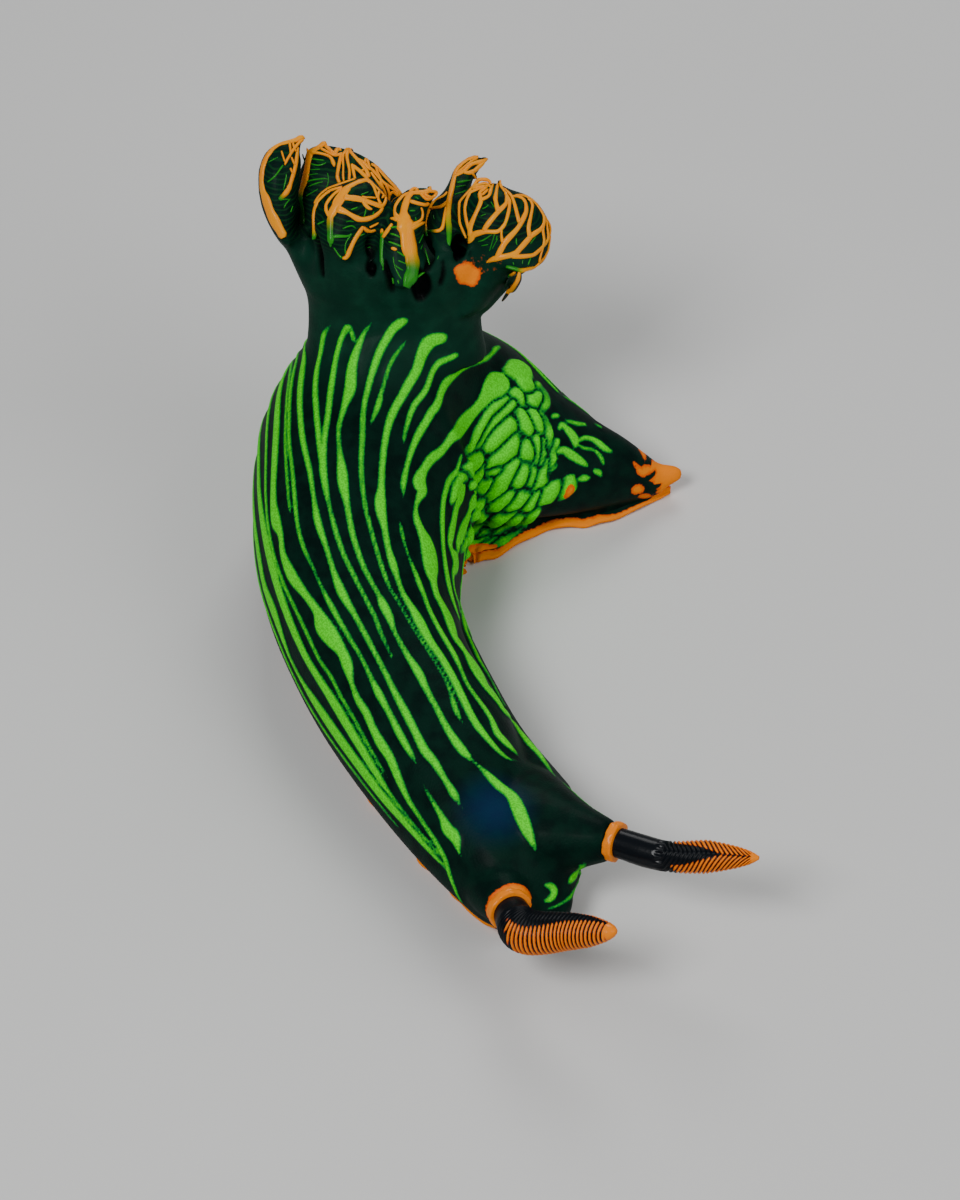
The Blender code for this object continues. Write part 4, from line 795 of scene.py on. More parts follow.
# A vein's section: across and depth from its outer face, rounded outside and thin inside
VEIN_PROFILE = np.array((
    (-0.5, 0.20), (-0.36, 0.04), (-0.14, -0.04), (0.14, -0.04), (0.36, 0.04),
    (0.5, 0.20), (0.42, 0.7), (0.2, 1.0), (-0.2, 1.0), (-0.42, 0.7),
))
# Where the painted bluish reflection on the head lies, as distance from the snout and turn from the top
PAINTED_SHEEN_PLACE = (7.9, 3.0)
# Colours that the markings mix in: the stripes' darker specks, the skin's darker blotches,
# the gill's funnel, the painted shade in its slots and the fine lines on its palms
SPECK_GREEN = (0.004, 0.14, 0.012)
BLOTCH_BLACK = (0.0005, 0.0075, 0.0055)
FUNNEL_GREEN = (0.0030, 0.034, 0.0185)
SLOT_PAINTED_SHADE = (0.0003, 0.0010, 0.0010)
PALM_GREEN = (0.004, 0.060, 0.012)
# Darker and brighter green of the veins, their yellow, and the two blacks of their flanks
VEIN_GREENS = ((0.003, 0.06, 0.012), (0.035, 0.36, 0.010))
VEIN_YELLOW = (0.88, 0.38, 0.0)
VEIN_BLACKS = ((0.0015, 0.005, 0.0045), (0.003, 0.016, 0.010))


class SlugSizes(bpy.types.PropertyGroup):
    """Sizes that change how fine the slug's surfaces are."""

    voxel: FloatProperty(
        name="Skin mesh size", description="Side of the skin's faces", default=0.287 * MM,
        min=0.1 * MM, max=1.0 * MM, unit="LENGTH", precision=5,
    )
    smoothing: IntProperty(
        name="Skin smoothing", description="Rounds of smoothing where forms meet", default=8, min=0, max=60,
    )
    stripe_raise: FloatProperty(
        name="Stripe height", description="How far the green stripes stand out", default=0.16 * MM,
        min=0.0, max=1.0 * MM, unit="LENGTH", precision=5,
    )
    bead_raise: FloatProperty(
        name="Fold height", description="How far the folded beads stand out", default=0.42 * MM,
        min=0.0, max=1.0 * MM, unit="LENGTH", precision=5,
    )
    lamellae: IntProperty(
        name="Horn plates", description="Number of plates on each horn's club", default=20, min=6, max=60,
    )
    lamella_depth: FloatProperty(
        name="Horn plate depth", description="Depth of the grooves between plates", default=0.20 * MM,
        min=0.0, max=1.0 * MM, unit="LENGTH", precision=5,
    )


class SlugColours(bpy.types.PropertyGroup):
    """Colours of the slug's finishes."""

    skin: FloatVectorProperty(
        name="Skin", description="Black-green ground of the skin", default=(0.0008, 0.0150, 0.0090),
        subtype="COLOR", min=0.0, max=1.0,
    )
    stripe: FloatVectorProperty(
        name="Stripe", description="Bright middle of the stripes", default=(0.075, 0.80, 0.0),
        subtype="COLOR", min=0.0, max=1.0,
    )
    stripe_edge: FloatVectorProperty(
        name="Stripe edge", description="Deep green edge of the stripes", default=(0.003, 0.20, 0.026),
        subtype="COLOR", min=0.0, max=1.0,
    )
    # Painted reflection: a bluish highlight painted into the head's colour
    blue: FloatVectorProperty(
        name="Head sheen", description="Blue patch on the head", default=(0.004, 0.022, 0.075),
        subtype="COLOR", min=0.0, max=1.0,
    )
    orange: FloatVectorProperty(
        name="Orange", description="Rims, collars and veins", default=(0.82, 0.21, 0.0),
        subtype="COLOR", min=0.0, max=1.0,
    )
    orange_edge: FloatVectorProperty(
        name="Orange edge", description="Redder edge of the orange", default=(0.70, 0.085, 0.0),
        subtype="COLOR", min=0.0, max=1.0,
    )
    black: FloatVectorProperty(
        name="Horn black", description="Black of the horns and gill", default=(0.0035, 0.0050, 0.0070),
        subtype="COLOR", min=0.0, max=1.0,
    )
    floor: FloatVectorProperty(
        name="Floor", description="Studio floor", default=(0.62, 0.62, 0.61),
        subtype="COLOR", min=0.0, max=1.0,
    )


def unit(vector):
    """Each vector divided by its own length."""
    vector = np.asarray(vector, float)
    return vector / np.maximum(np.linalg.norm(vector, axis=-1, keepdims=True), 1e-12)


def smooth_step(value):
    """0 below 0, 1 above 1 and 3t^2 - 2t^3 between them."""
    value = np.clip(value, 0.0, 1.0)
    return value * value * (3.0 - 2.0 * value)


def stations_at(s):
    """The station table's columns at s, each a cubic through the stations on both sides."""
    s = np.clip(np.asarray(s, float), 0.0, LENGTH)
    slope = np.gradient(TABLE, KNOTS, axis=0)
    i = np.clip(np.searchsorted(KNOTS, s, side="right") - 1, 0, len(KNOTS) - 2)
    step = (KNOTS[i + 1] - KNOTS[i])[..., None]
    t = (s - KNOTS[i])[..., None] / step
    value = (2 * t**3 - 3 * t**2 + 1) * TABLE[i]
    value = value + (t**3 - 2 * t**2 + t) * slope[i] * step
    value = value + (3 * t**2 - 2 * t**3) * TABLE[i + 1]
    value = value + (t**3 - t**2) * slope[i + 1] * step
    return np.moveaxis(value, -1, 0)


def rounding(s):
    """Quarter circles that shrink the section to a point at the snout and at the tail."""
    front = np.clip(1.0 - s / SNOUT_ROUND, 0.0, 1.0)
    back = np.clip(1.0 - (SKIN_END - s) / TAIL_ROUND, 0.0, 1.0)
    return np.sqrt((1.0 - front**2) * (1.0 - back**2)) + 1e-3


def wall(s, phi):
    """The body wall at s from the snout and phi from the top.

    Each section is a superellipse, sin and cos of phi raised to 2 over its fullness, cut flat
    at the bottom. The tail's back is raised by a bell curve of s, and the skin near the gill
    is pushed up into its mound.
    """
    s, phi = np.broadcast_arrays(np.asarray(s, float), np.asarray(phi, float))
    x, y, facing, half, height, _ = stations_at(s)
    share = rounding(s)
    half = half * share
    height = height + TAIL_LIFT * np.exp(-(((s - TAIL_LIFT_PLACE) / TAIL_LIFT_SPREAD) ** 2))
    end = np.where(s < HALF_WAY, NOSE_HEIGHT, TIP_HEIGHT)
    top = end + (height - end) * share
    low = end - (end - WALL_LOW) * share
    middle = low + MIDDLE_SHARE * (top - low)
    across, up = np.sin(np.radians(phi)), np.cos(np.radians(phi))
    power = np.where(up > 0, 2.0 / TOP_FULLNESS, 2.0 / LOW_FULLNESS)
    reach = np.where(up > 0, top - middle, middle - low)
    side = half * np.abs(across) ** power * np.sign(across)
    z = middle + reach * np.sign(up) * np.abs(up) ** power
    bottom = SKIN_BOTTOM + (TAIL_BOTTOM - SKIN_BOTTOM) * smooth_step((s - BOTTOM_CHANGE) / BOTTOM_RUN)
    z = np.maximum(z, bottom)
    turn = np.radians(facing)
    points = np.stack([x - np.sin(turn) * side, y + np.cos(turn) * side, z], -1)
    away = np.hypot(points[..., 0] - MOUND_FOOT[0], points[..., 1] - MOUND_FOOT[1])
    rise = MOUND_RISE * smooth_step((MOUND_OUTER - away) / (MOUND_OUTER - MOUND_INNER))
    rise = rise * smooth_step((z - middle) / (top - middle + 1e-6) * 1.4)
    return points + rise[..., None] * GILL_UP


def bent_path(points, count):
    """A Catmull-Rom curve through a few points, as count rows."""
    points = np.asarray(points, float)
    ends = np.vstack([2 * points[0] - points[1], points, 2 * points[-1] - points[-2]])
    at = np.linspace(0, len(points) - 1 - 1e-9, count)
    i = at.astype(int)
    t = (at - i)[:, None]
    a, b, c, d = ends[i], ends[i + 1], ends[i + 2], ends[i + 3]
    return 0.5 * (2 * b + (c - a) * t + (2 * a - 5 * b + 4 * c - d) * t**2 + (3 * b - a - 3 * c + d) * t**3)


def path_frame(path):
    """Along, level and lift vectors of a path: its tangent, the level normal and the rest."""
    along = unit(np.gradient(path, axis=0))
    level = unit(np.cross(along, (0.0, 0.0, 1.0)))
    return along, level, np.cross(level, along)


def tube(path, radii, sides, flat=1.0):
    """Rings square to a path: radius times (cos of the turn along level, sin along lift)."""
    path = np.asarray(path, float)
    _, level, lift = path_frame(path)
    turn = np.arange(sides) * 2 * np.pi / sides
    radii = np.asarray(radii, float)
    radii = radii[:, None] if radii.ndim == 1 else radii
    flat = np.broadcast_to(flat, len(path))[:, None, None]
    ring = np.cos(turn)[None, :, None] * level[:, None] + flat * np.sin(turn)[None, :, None] * lift[:, None]
    return path[:, None] + radii[..., None] * ring


def shell(grid):
    """A closed surface from a grid that wraps along its second axis, with a point at each end."""
    rows, cols = grid.shape[:2]
    index = np.arange(rows * cols).reshape(rows, cols)
    right = np.roll(index, -1, axis=1)
    quads = np.stack([index[:-1], right[:-1], right[1:], index[1:]], -1).reshape(-1, 4)
    first, last = rows * cols, rows * cols + 1
    low = np.stack([np.full(cols, first), right[0], index[0]], -1)
    high = np.stack([np.full(cols, last), index[-1], right[-1]], -1)
    points = np.vstack([grid.reshape(-1, 3), grid[0].mean(0), grid[-1].mean(0)])
    tris = np.vstack([low, high])
    if enclosed(points, quads, tris) < 0:
        quads, tris = quads[:, ::-1], tris[:, ::-1]
    return points, quads, tris


def enclosed(points, quads, tris):
    """Signed volume: the sum of a . (b x c) over the triangles, over 6."""
    halves = np.vstack([quads[:, [0, 1, 2]], quads[:, [0, 2, 3]], tris])
    a, b, c = (points[halves[:, k]] for k in range(3))
    return np.einsum("ij,ij->i", a - points[0], np.cross(b - points[0], c - points[0])).sum() / 6.0


def join_shells(shells):
    """Several shells as one set of points, quads and triangles."""
    points, quads, tris, start = [], [], [], 0
    for shape, four, three in shells:
        points.append(shape)
        quads.append(four + start)
        tris.append(three + start)
        start += len(shape)
    return np.vstack(points), np.vstack(quads), np.vstack(tris)


def new_piece(name, points, quads, tris, facts=None):
    """A smooth mesh object from arrays in millimetres, with float attributes on its points."""
    mesh = bpy.data.meshes.new(name)
    corners = np.concatenate([quads.ravel(), tris.ravel()]).astype(np.int32)
    sizes = np.concatenate([np.full(len(quads), 4), np.full(len(tris), 3)])
    mesh.vertices.add(len(points))
    mesh.vertices.foreach_set("co", (points * MM).astype(np.float32).ravel())
    mesh.loops.add(len(corners))
    mesh.loops.foreach_set("vertex_index", corners)
    mesh.polygons.add(len(sizes))
    mesh.polygons.foreach_set("loop_start", (np.cumsum(sizes) - sizes).astype(np.int32))
    mesh.update(calc_edges=True)
    mesh.validate()
    mesh.shade_smooth()
    write_facts(mesh, facts or {})
    piece = bpy.data.objects.new(name, mesh)
    bpy.context.scene.collection.objects.link(piece)
    return piece


def write_facts(mesh, facts):
    """Each named array as a float attribute on the mesh's points."""
    for name, values in facts.items():
        layer = mesh.attributes.new(name, "FLOAT", "POINT")
        layer.data.foreach_set("value", np.asarray(values, np.float32))


def dress(piece, material, slot, *nodes):
    """Give a finished piece its material and body, and hide the CAD nodes it stands for; the record slot is
    not used.
    """
    piece.data.materials.clear()
    piece.data.materials.append(material)
    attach(piece, "root")
    if nodes:
        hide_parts(*nodes)
    return piece


def gill_point(right, front, up):
    """A point in the gill's own axes, from the middle of its foot."""
    right, front, up = (np.asarray(value, float)[..., None] for value in (right, front, up))
    return GILL_FOOT + right * GILL_RIGHT + front * GILL_FRONT + up * GILL_UP


def picture_axes():
    """The gill's middle and the camera's view of it: right, up and towards the camera."""
    heart = gill_point(0.0, 0.0, 8.0)
    out = unit(camera_place() - heart)
    right = unit(np.array([1.0, 0.0, 0.0]) - out * out[0])
    return heart, right, np.cross(out, right), out


def camera_place():
    """The camera's place: its distance from the target at its elevation, on the -Y side."""
    up = math.radians(CAMERA_ELEVATION)
    return np.array(CAMERA_TARGET) + CAMERA_DISTANCE * np.array([0.0, -math.cos(up), math.sin(up)])


def camera_rays(right, down):
    """Unit rays through pixels: the camera's aim plus their offsets over the focal length."""
    tilt = math.radians(CAMERA_ELEVATION)
    aim = np.array([0.0, math.cos(tilt), -math.sin(tilt)])
    rise = np.array([0.0, math.sin(tilt), math.cos(tilt)])
    across = (np.asarray(right, float) - 0.5 * FRAME[0])[..., None] / FOCAL
    climb = (0.5 * FRAME[1] - np.asarray(down, float))[..., None] / FOCAL
    return unit(aim + across * (1.0, 0.0, 0.0) + climb * rise)


def picture_places(right, down, depth):
    """Pixels as right and up in the gill's picture, where their rays meet a plane at a depth."""
    heart, to_right, to_up, out = picture_axes()
    eye = camera_place()
    rays = camera_rays(right, down)
    place = eye - heart + (((heart - eye) @ out + depth) / (rays @ out))[:, None] * rays
    return place @ to_right, place @ to_up


def palm_table(name):
    """A palm's rows in millimetres: height, left and right edge, depth and half thickness."""
    down, left, right, depth, thick = np.array(GILL_PALMS[name], float).T
    left, up = picture_places(left, down, depth)
    right, _ = picture_places(right, down, depth)
    return np.column_stack([up, left, right, depth, thick])


def palm_rows(name, up):
    """A palm's left and right edge, depth and half thickness at each height, from its rows."""
    line = bent_path(palm_table(name), 160)
    height = np.maximum.accumulate(line[:, 0])
    return [np.interp(up, height, line[:, k]) for k in range(1, 5)]


def palm_depth(name, right, up, side):
    """Depth of a palm's front (side 1) or back (side -1).

    With x as the share of the row's half width, it is the row's depth plus side times the
    half thickness times the square root of 1 - x^2.
    """
    left, far, depth, thick = palm_rows(name, up)
    x = (right - 0.5 * (left + far)) / (0.5 * (far - left))
    return depth + side * thick * np.sqrt(np.clip(1.0 - x**2, 0.0, 1.0))


def palm_point(name, right, up, side=1.0):
    """Points on a palm and its outward normals, from the slopes of its depth."""
    heart, to_right, to_up, out = picture_axes()
    depth = palm_depth(name, right, up, side)
    across = (palm_depth(name, right + 0.05, up, side) - palm_depth(name, right - 0.05, up, side)) / 0.1
    climb = (palm_depth(name, right, up + 0.05, side) - palm_depth(name, right, up - 0.05, side)) / 0.1
    across, climb = np.clip(across, -2.5, 2.5), np.clip(climb, -2.5, 2.5)
    place = heart + right[..., None] * to_right + up[..., None] * to_up + depth[..., None] * out
    return place, unit(side * (out - across[..., None] * to_right - climb[..., None] * to_up))


def palm_shell(name):
    """A palm as a closed surface: an ellipse across each row, from the lowest row to the top."""
    line = bent_path(palm_table(name), 44)
    up, left, far, depth, thick = (line[:, k : k + 1] for k in range(5))
    turn = np.arange(48)[None, :] * 2 * np.pi / 48
    right = 0.5 * (left + far) + 0.5 * (far - left) * np.cos(turn)
    away = depth + thick * np.sin(turn)
    heart, to_right, to_up, out = picture_axes()
    across = right[..., None] * to_right + away[..., None] * out
    return shell(heart + up[..., None] * to_up + across)


def base_shell():
    """The gill's funnel: elliptical rings up its outside, over its rim and into its dish."""
    knots = np.array(GILL_BASE_RINGS)
    rings = bent_path(knots, 5 * len(knots))
    turn = np.arange(72) * 2 * np.pi / 72
    right = rings[:, 1:2] * np.sin(turn)
    front = rings[:, 2:3] * np.cos(turn)
    right = right - BASE_SHIFT * smooth_step((2.0 - rings[:, :1]) / 5.0)
    return shell(gill_point(right, front, np.broadcast_to(rings[:, :1], right.shape)))


def trunk_shell(trunk):
    """A plume's trunk: straight lines from an ellipse on the funnel to one in its palm.

    The upper ellipse starts at the point that keeps the lines from crossing.
    """
    bearing, height, foot_half, right, up, half, depth, thick = trunk
    angle = math.radians(bearing)
    rings = np.array(GILL_BASE_RINGS[: GILL_RIM - 1])
    wide, deep = (np.interp(height, rings[:, 0], rings[:, k]) - 0.8 * TRUNK_DEPTH for k in (1, 2))
    foot = gill_point(math.sin(angle) * wide, math.cos(angle) * deep, height)
    side = unit(math.cos(angle) * wide * GILL_RIGHT - math.sin(angle) * deep * GILL_FRONT)
    turns = np.arange(32) * 2 * np.pi / 32
    across, through = np.cos(turns), np.sin(turns)
    inward = -np.cross(side, GILL_UP)
    ring = foot + np.outer(across * foot_half, side) + np.outer(through * TRUNK_DEPTH, inward)
    heart, to_right, to_up, out = picture_axes()
    top = heart + up * to_up + depth * out
    top = top + np.outer(right + across * half, to_right) + np.outer(through * thick, out)
    ways = [np.roll(way, turn, axis=0) for way in (top, top[::-1]) for turn in (0, 8, 16, 24)]
    top = max(ways, key=lambda way: np.sum((ring - foot) * (way - way.mean(0))))
    share = np.linspace(0.0, 1.0, 18)[:, None, None]
    return shell(ring + share * (top - ring))


def rim_wall_shell():
    """The low wall on the gill's rim: a thin ring whose height follows the bearing table."""
    turn = np.arange(120) * 2 * np.pi / 120
    bearing = (np.degrees(turn) + 180.0) % 360.0 - 180.0
    height = np.interp(bearing, *np.array(RIM_WALL).T)
    rim_up, rim_wide, rim_deep = GILL_BASE_RINGS[GILL_RIM]
    root = rim_up - RIM_WALL_ROOT
    rows = []
    for share, outward in RIM_WALL_PROFILE:
        right = np.sin(turn) * (rim_wide + outward + RIM_WALL_LEAN * share * height)
        front = np.cos(turn) * (rim_deep + outward + RIM_WALL_LEAN * share * height)
        rows.append(gill_point(right, front, root + share * (height + RIM_WALL_ROOT)))
    return torus(np.stack(rows))


def torus(grid):
    """A surface that closes along both axes of its grid, as points, quads and no triangles."""
    rows, cols = grid.shape[:2]
    index = np.arange(rows * cols).reshape(rows, cols)
    right, down = np.roll(index, -1, axis=1), np.roll(index, -1, axis=0)
    quads = np.stack([index, right, np.roll(right, -1, axis=0), down], -1).reshape(-1, 4)
    points = grid.reshape(-1, 3)
    tris = np.empty((0, 3), int)
    if enclosed(points, quads, tris) < 0:
        quads = quads[:, ::-1]
    return points, quads, tris


def sheath_shell(horn):
    """A horn's sheath: a tube that narrows from inside the head to the collar."""
    collar, knee = np.array(horn["collar"]), np.array(horn["knee"])
    aim = unit(knee - collar)
    start = collar - aim * 0.35 * COLLAR_LENGTH
    knots = np.array([*horn["sheath"], (*start, 0.97 * horn["radius"], 1.0)])
    line = bent_path(knots, 28)
    return shell(tube(line[:, :3], line[:, 3], 40, line[:, 4]))


def lip_shells():
    """Two rolls round the front of the head, with the mouth's line between them."""
    reach = np.linspace(-1.0, 1.0, 41)
    s = 0.15 + LIP_REACH * np.abs(reach) ** 1.6
    arc = wall(s, 90.0 * np.sign(reach + 1e-9))
    arc[20] = 0.5 * (arc[19] + arc[21])
    radii = LIP_RADIUS * (1.0 - 0.6 * np.abs(reach) ** 3)
    return [shell(tube(arc + (0.0, 0.0, side * LIP_SPACING), radii, 16)) for side in (0.5, -0.5)]


def lobe_shells():
    """The two short oral tentacles beside the mouth, as blunt flattened tubes."""
    shells = []
    for foot, tip, radius in ORAL_LOBES.values():
        share = np.linspace(0.0, 1.0, 14)
        path = np.array(foot) + share[:, None] * (np.array(tip) - np.array(foot))
        radii = radius * np.interp(share, (0, 0.3, 0.7, 0.9, 1.0), (0.9, 1.0, 0.95, 0.7, 0.25))
        shells.append(shell(tube(path, radii, 24, 0.7)))
    return shells


def neck_shell():
    """The flesh that fills the neck's inner side up to the left horn, a smooth bent tube."""
    line = bent_path(NECK, 30)
    return shell(tube(line[:, :3], line[:, 3], 32))


def knob_shell():
    """The tail's rounded tip: a tube whose radius falls to nothing as a stretched circle."""
    share = np.linspace(0.0, 0.99, 16)
    path = np.array(KNOB) + share[:, None] * (np.array(KNOB_TIP) - np.array(KNOB))
    return shell(tube(path, KNOB_RADIUS * np.sqrt(1.0 - share**3.2), 24))


def body_shell():
    """The body wall over its whole length, closed at the snout and the tail."""
    early = SNOUT_ROUND * (1.0 - np.cos(np.radians(np.linspace(3.0, 90.0, 16))))
    late = np.linspace(SNOUT_ROUND, SKIN_END - TAIL_ROUND, 190)[1:]
    end = SKIN_END - TAIL_ROUND * (1.0 - np.sin(np.radians(np.linspace(0.0, 87.0, 10)[1:])))
    stops = np.concatenate([early, late, end])
    phi = np.arange(120) * 3.0
    phi = np.where(phi > 180.0, phi - 360.0, phi)
    return shell(wall(stops[:, None], phi[None, :]))


def papilla_shell():
    """The anal papilla, a short blunt cone in the middle of the gill."""
    share = np.linspace(0.0, 1.0, 9)
    path = gill_point(*PAPILLA_FOOT) + share[:, None] * PAPILLA_RISE * GILL_UP
    return shell(tube(path, PAPILLA_RADIUS * (1.0 - 0.7 * share**2), 20))


def fused(name, shells, voxel):
    """One closed surface round all the shells, by a voxel remesh, as points and quads."""
    rough = new_piece(name, *join_shells(shells))
    step = rough.modifiers.new("fuse", "REMESH")
    step.mode = "VOXEL"
    step.voxel_size = voxel
    bpy.context.view_layer.update()
    graph = bpy.context.evaluated_depsgraph_get()
    mesh = bpy.data.meshes.new_from_object(rough.evaluated_get(graph))
    bpy.data.objects.remove(rough)
    points = np.empty(len(mesh.vertices) * 3, np.float32)
    mesh.vertices.foreach_get("co", points)
    quads = np.empty(len(mesh.loops), np.int32)
    mesh.loops.foreach_get("vertex_index", quads)
    bpy.data.meshes.remove(mesh)
    return points.reshape(-1, 3).astype(float) / MM, quads.reshape(-1, 4)


def edges_of(quads):
    """Each side of each quad once, as pairs of points."""
    pairs = np.concatenate([quads[:, [0, 1]], quads[:, [1, 2]], quads[:, [2, 3]], quads[:, [3, 0]]])
    return np.unique(np.sort(pairs, axis=1), axis=0)


def smoothed(values, edges, rounds, count):
    """Values moved half way to the mean of their neighbours, round after round."""
    degree = np.bincount(edges.ravel(), minlength=count)[:, None]
    for _ in range(rounds):
        total = np.empty_like(values)
        for k in range(values.shape[1]):
            total[:, k] = np.bincount(edges[:, 0], values[edges[:, 1], k], count)
            total[:, k] += np.bincount(edges[:, 1], values[edges[:, 0], k], count)
        values = 0.5 * values + 0.5 * total / degree
    return values


def normals_of(points, quads):
    """Point normals: the sum of the crossed diagonals of the quads round each point."""
    face = np.cross(points[quads[:, 2]] - points[quads[:, 0]], points[quads[:, 3]] - points[quads[:, 1]])
    total = np.zeros_like(points)
    for k in range(3):
        total[:, k] = np.bincount(quads.ravel(), np.repeat(face[:, k], 4), len(points))
    return unit(total)


def mark_samples(marks):
    """Points along each mark on the body wall, with the radius, relief and owner of each.

    A mark's points are joined by a smooth curve in s and phi, and its half width in degrees
    becomes millimetres by the mean radius of the section. Both ends run out to a point.
    """
    rows = []
    for owner, points in enumerate(marks.values()):
        knots = np.array(points, float)
        line = bent_path(knots, 12 * (len(knots) - 1) + 1)
        s, phi, wide = evenly(line, wall(line[:, 0], line[:, 1]))
        _, _, _, half, height, _ = stations_at(s)
        radius = np.radians(np.maximum(wide, 0.3)) * 0.5 * (half + 0.5 * height) + STRIPE_SPREAD
        place = wall(s, phi)
        low = place[0] + np.outer((4, 3, 2, 1), place[0] - place[1])
        high = place[-1] + np.outer((1, 2, 3, 4), place[-1] - place[-2])
        taper = np.array((0.12, 0.3, 0.5, 0.75))
        place = np.vstack([low, place, high])
        radius = np.concatenate([radius[0] * taper, radius, radius[-1] * taper[::-1]])
        rows.append(np.column_stack([place, radius, 0.0 * radius, 0.0 * radius + owner]))
    return np.vstack(rows)


def skin_hit(tree, right, down):
    """Where a pixel's ray meets the skin, and the half width there of a stroke one pixel wide.

    That is half a pixel's size at the distance, over the power SLANT_POWER of the cosine
    between the ray and the skin's normal.
    """
    ray = camera_rays(right, down)
    place, normal, _, distance = tree.ray_cast(camera_place(), ray)
    if place is None:
        return None
    square = max(abs(ray @ np.array(normal)), LEAST_SLANT)
    return np.array([*place, 0.5 * distance / FOCAL / square**SLANT_POWER])


def nearest_hit(tree, right, down):
    """The same at the pixel or, where that misses or is too near the floor, at one beside it."""
    found = skin_hit(tree, right, down)
    if found is not None and found[2] > FLOOR_MARGIN:
        return found
    for step in np.arange(MISS_STEP, MISS_REACH, MISS_STEP):
        for across, along in MISS_TURNS:
            found = skin_hit(tree, right + across * step, down + along * step)
            if found is not None:
                return found
    raise ValueError(f"no skin near the stroke's point at {right}, {down}")


def laid_strokes(tree, strokes):
    """Strokes of the photo laid on the skin, as x, y, z and half width of each of their points."""
    laid = []
    for stroke in strokes:
        hits = [nearest_hit(tree, right, down) for right, down, _ in stroke]
        laid.append(np.array(hits) * [(1.0, 1.0, 1.0, width) for _, _, width in stroke])
    return laid


def fold_samples(folds, relief, first):
    """The same for marks that are given by their places in space, with owners from first on."""
    rows = []
    for owner, points in enumerate(folds, first):
        line = bent_path(points, 12 * (len(points) - 1) + 1)
        line = np.stack(evenly(line, line[:, :3]), -1)
        rows.append(np.column_stack([line, *(np.full(len(line), value) for value in (relief, owner))]))
    return np.vstack(rows)


def evenly(line, place):
    """The columns of a line at even steps along its places."""
    length = np.concatenate([[0.0], np.cumsum(np.linalg.norm(np.diff(place, axis=0), axis=1))])
    at = np.linspace(0.0, length[-1], max(int(length[-1] / SAMPLE_STEP), 2) + 1)
    return [np.interp(at, length, column) for column in line.T]


def nearest_mark(points, normals, samples):
    """Distance from each point to the edge of the nearest mark, and that mark's relief.

    The distance runs along the surface: the part along the normal counts only past
    THROUGH, which keeps marks on the far side of a thin form away. Marks with relief spread
    until they meet their neighbours in a crease.
    """
    places, radii, relief, owners = samples[:, :3], samples[:, 3], samples[:, 4], samples[:, 5]
    distance = np.full(len(points), REACH)
    fold = np.zeros(len(points))
    _, group = np.unique(np.floor(points / 4.0).astype(int), axis=0, return_inverse=True)
    order = np.argsort(group.ravel(), kind="stable")
    cuts = np.flatnonzero(np.diff(group.ravel()[order])) + 1
    for members in np.split(order, cuts):
        low, high = points[members].min(0) - REACH, points[members].max(0) + REACH
        near = np.all((places > low) & (places < high), axis=1)
        if not near.any():
            continue
        away = points[members][:, None] - places[near][None]
        depth = np.einsum("ijk,ik->ij", away, normals[members])
        along = np.sqrt(np.maximum(np.einsum("ijk,ijk->ij", away, away) - depth**2, 0.0))
        gap = np.hypot(along, 3.0 * np.maximum(np.abs(depth) - THROUGH, 0.0)) - radii[near]
        starts = np.concatenate([[0], np.flatnonzero(np.diff(owners[near])) + 1])
        gap = np.column_stack([np.minimum.reduceat(gap, starts, axis=1), np.full(len(members), REACH)])
        raised = np.append(relief[near][starts], 0.0)[gap.argmin(1)]
        first, second = np.partition(gap, 1, axis=1)[:, :2].T
        crease = np.maximum(first - FOLD_SPREAD, 0.5 * (first - second) + CREASE)
        distance[members] = np.where(raised > 0, crease, first)
        fold[members] = raised
    return np.minimum(distance, REACH), fold


def skin_surface(sizes):
    """The whole skin as points and quads, with the distances that its colours follow."""
    shells = [body_shell(), knob_shell(), neck_shell(), base_shell(), papilla_shell(), rim_wall_shell()]
    shells += [*lip_shells(), *lobe_shells(), *(sheath_shell(horn) for horn in HORNS.values())]
    shells += [palm_shell(name) for name in GILL_PALMS] + [shell(foot_grid(SHELF_INSET, SHELF_LIFT))]
    shells += [trunk_shell(trunk) for trunks in TRUNKS.values() for trunk in trunks]
    points, quads = fused("skin_rough", shells, sizes.voxel)
    edges = edges_of(quads)
    points = smoothed(points, edges, sizes.smoothing, len(points))
    normals = normals_of(points, quads)
    tree = BVHTree.FromPolygons(points.tolist(), quads.tolist())
    green = [mark_samples(STRIPES), fold_samples(laid_strokes(tree, FOLDS), 1.0, 100)]
    green += [fold_samples(laid_strokes(tree, BEND_STRIPES + TAIL_MARKS), 0.0, 300)]
    stripe, fold = nearest_mark(points, normals, np.vstack(green))
    amber = [mark_samples(ORANGE_MARKS), fold_samples(laid_strokes(tree, TAIL_ORANGE), 0.0, 100)]
    orange, _ = nearest_mark(points, normals, np.vstack(amber))
    raised = smooth_step((0.12 - stripe) / 0.42) * sizes.stripe_raise / MM
    raised = raised + fold * smooth_step((0.10 - stripe) / 0.60) * sizes.bead_raise / MM
    # Distance to the gill's slots: it dents the skin there, and the material paints shade into them
    slot_dent_and_painted_shade, _ = nearest_mark(points, normals, fold_samples(laid_strokes(tree, GILL_SLOTS), 0.0, 0))
    raised = raised - SLOT_DEPTH * smooth_step((0.20 - slot_dent_and_painted_shade) / 0.55)
    raised = smoothed(raised[:, None], edges, 1, len(points))
    up = (points - GILL_FOOT) @ GILL_UP
    orange = np.minimum.reduce([orange, gill_spot(points), tail_end(points), collar_band(points)])
    points = points + raised * normals
    points[:, 2] = np.maximum(points[:, 2], 0.0)
    return points, quads, {"stripe": stripe, "orange": orange, "gill_up": up, "slot_dent_and_painted_shade": slot_dent_and_painted_shade}


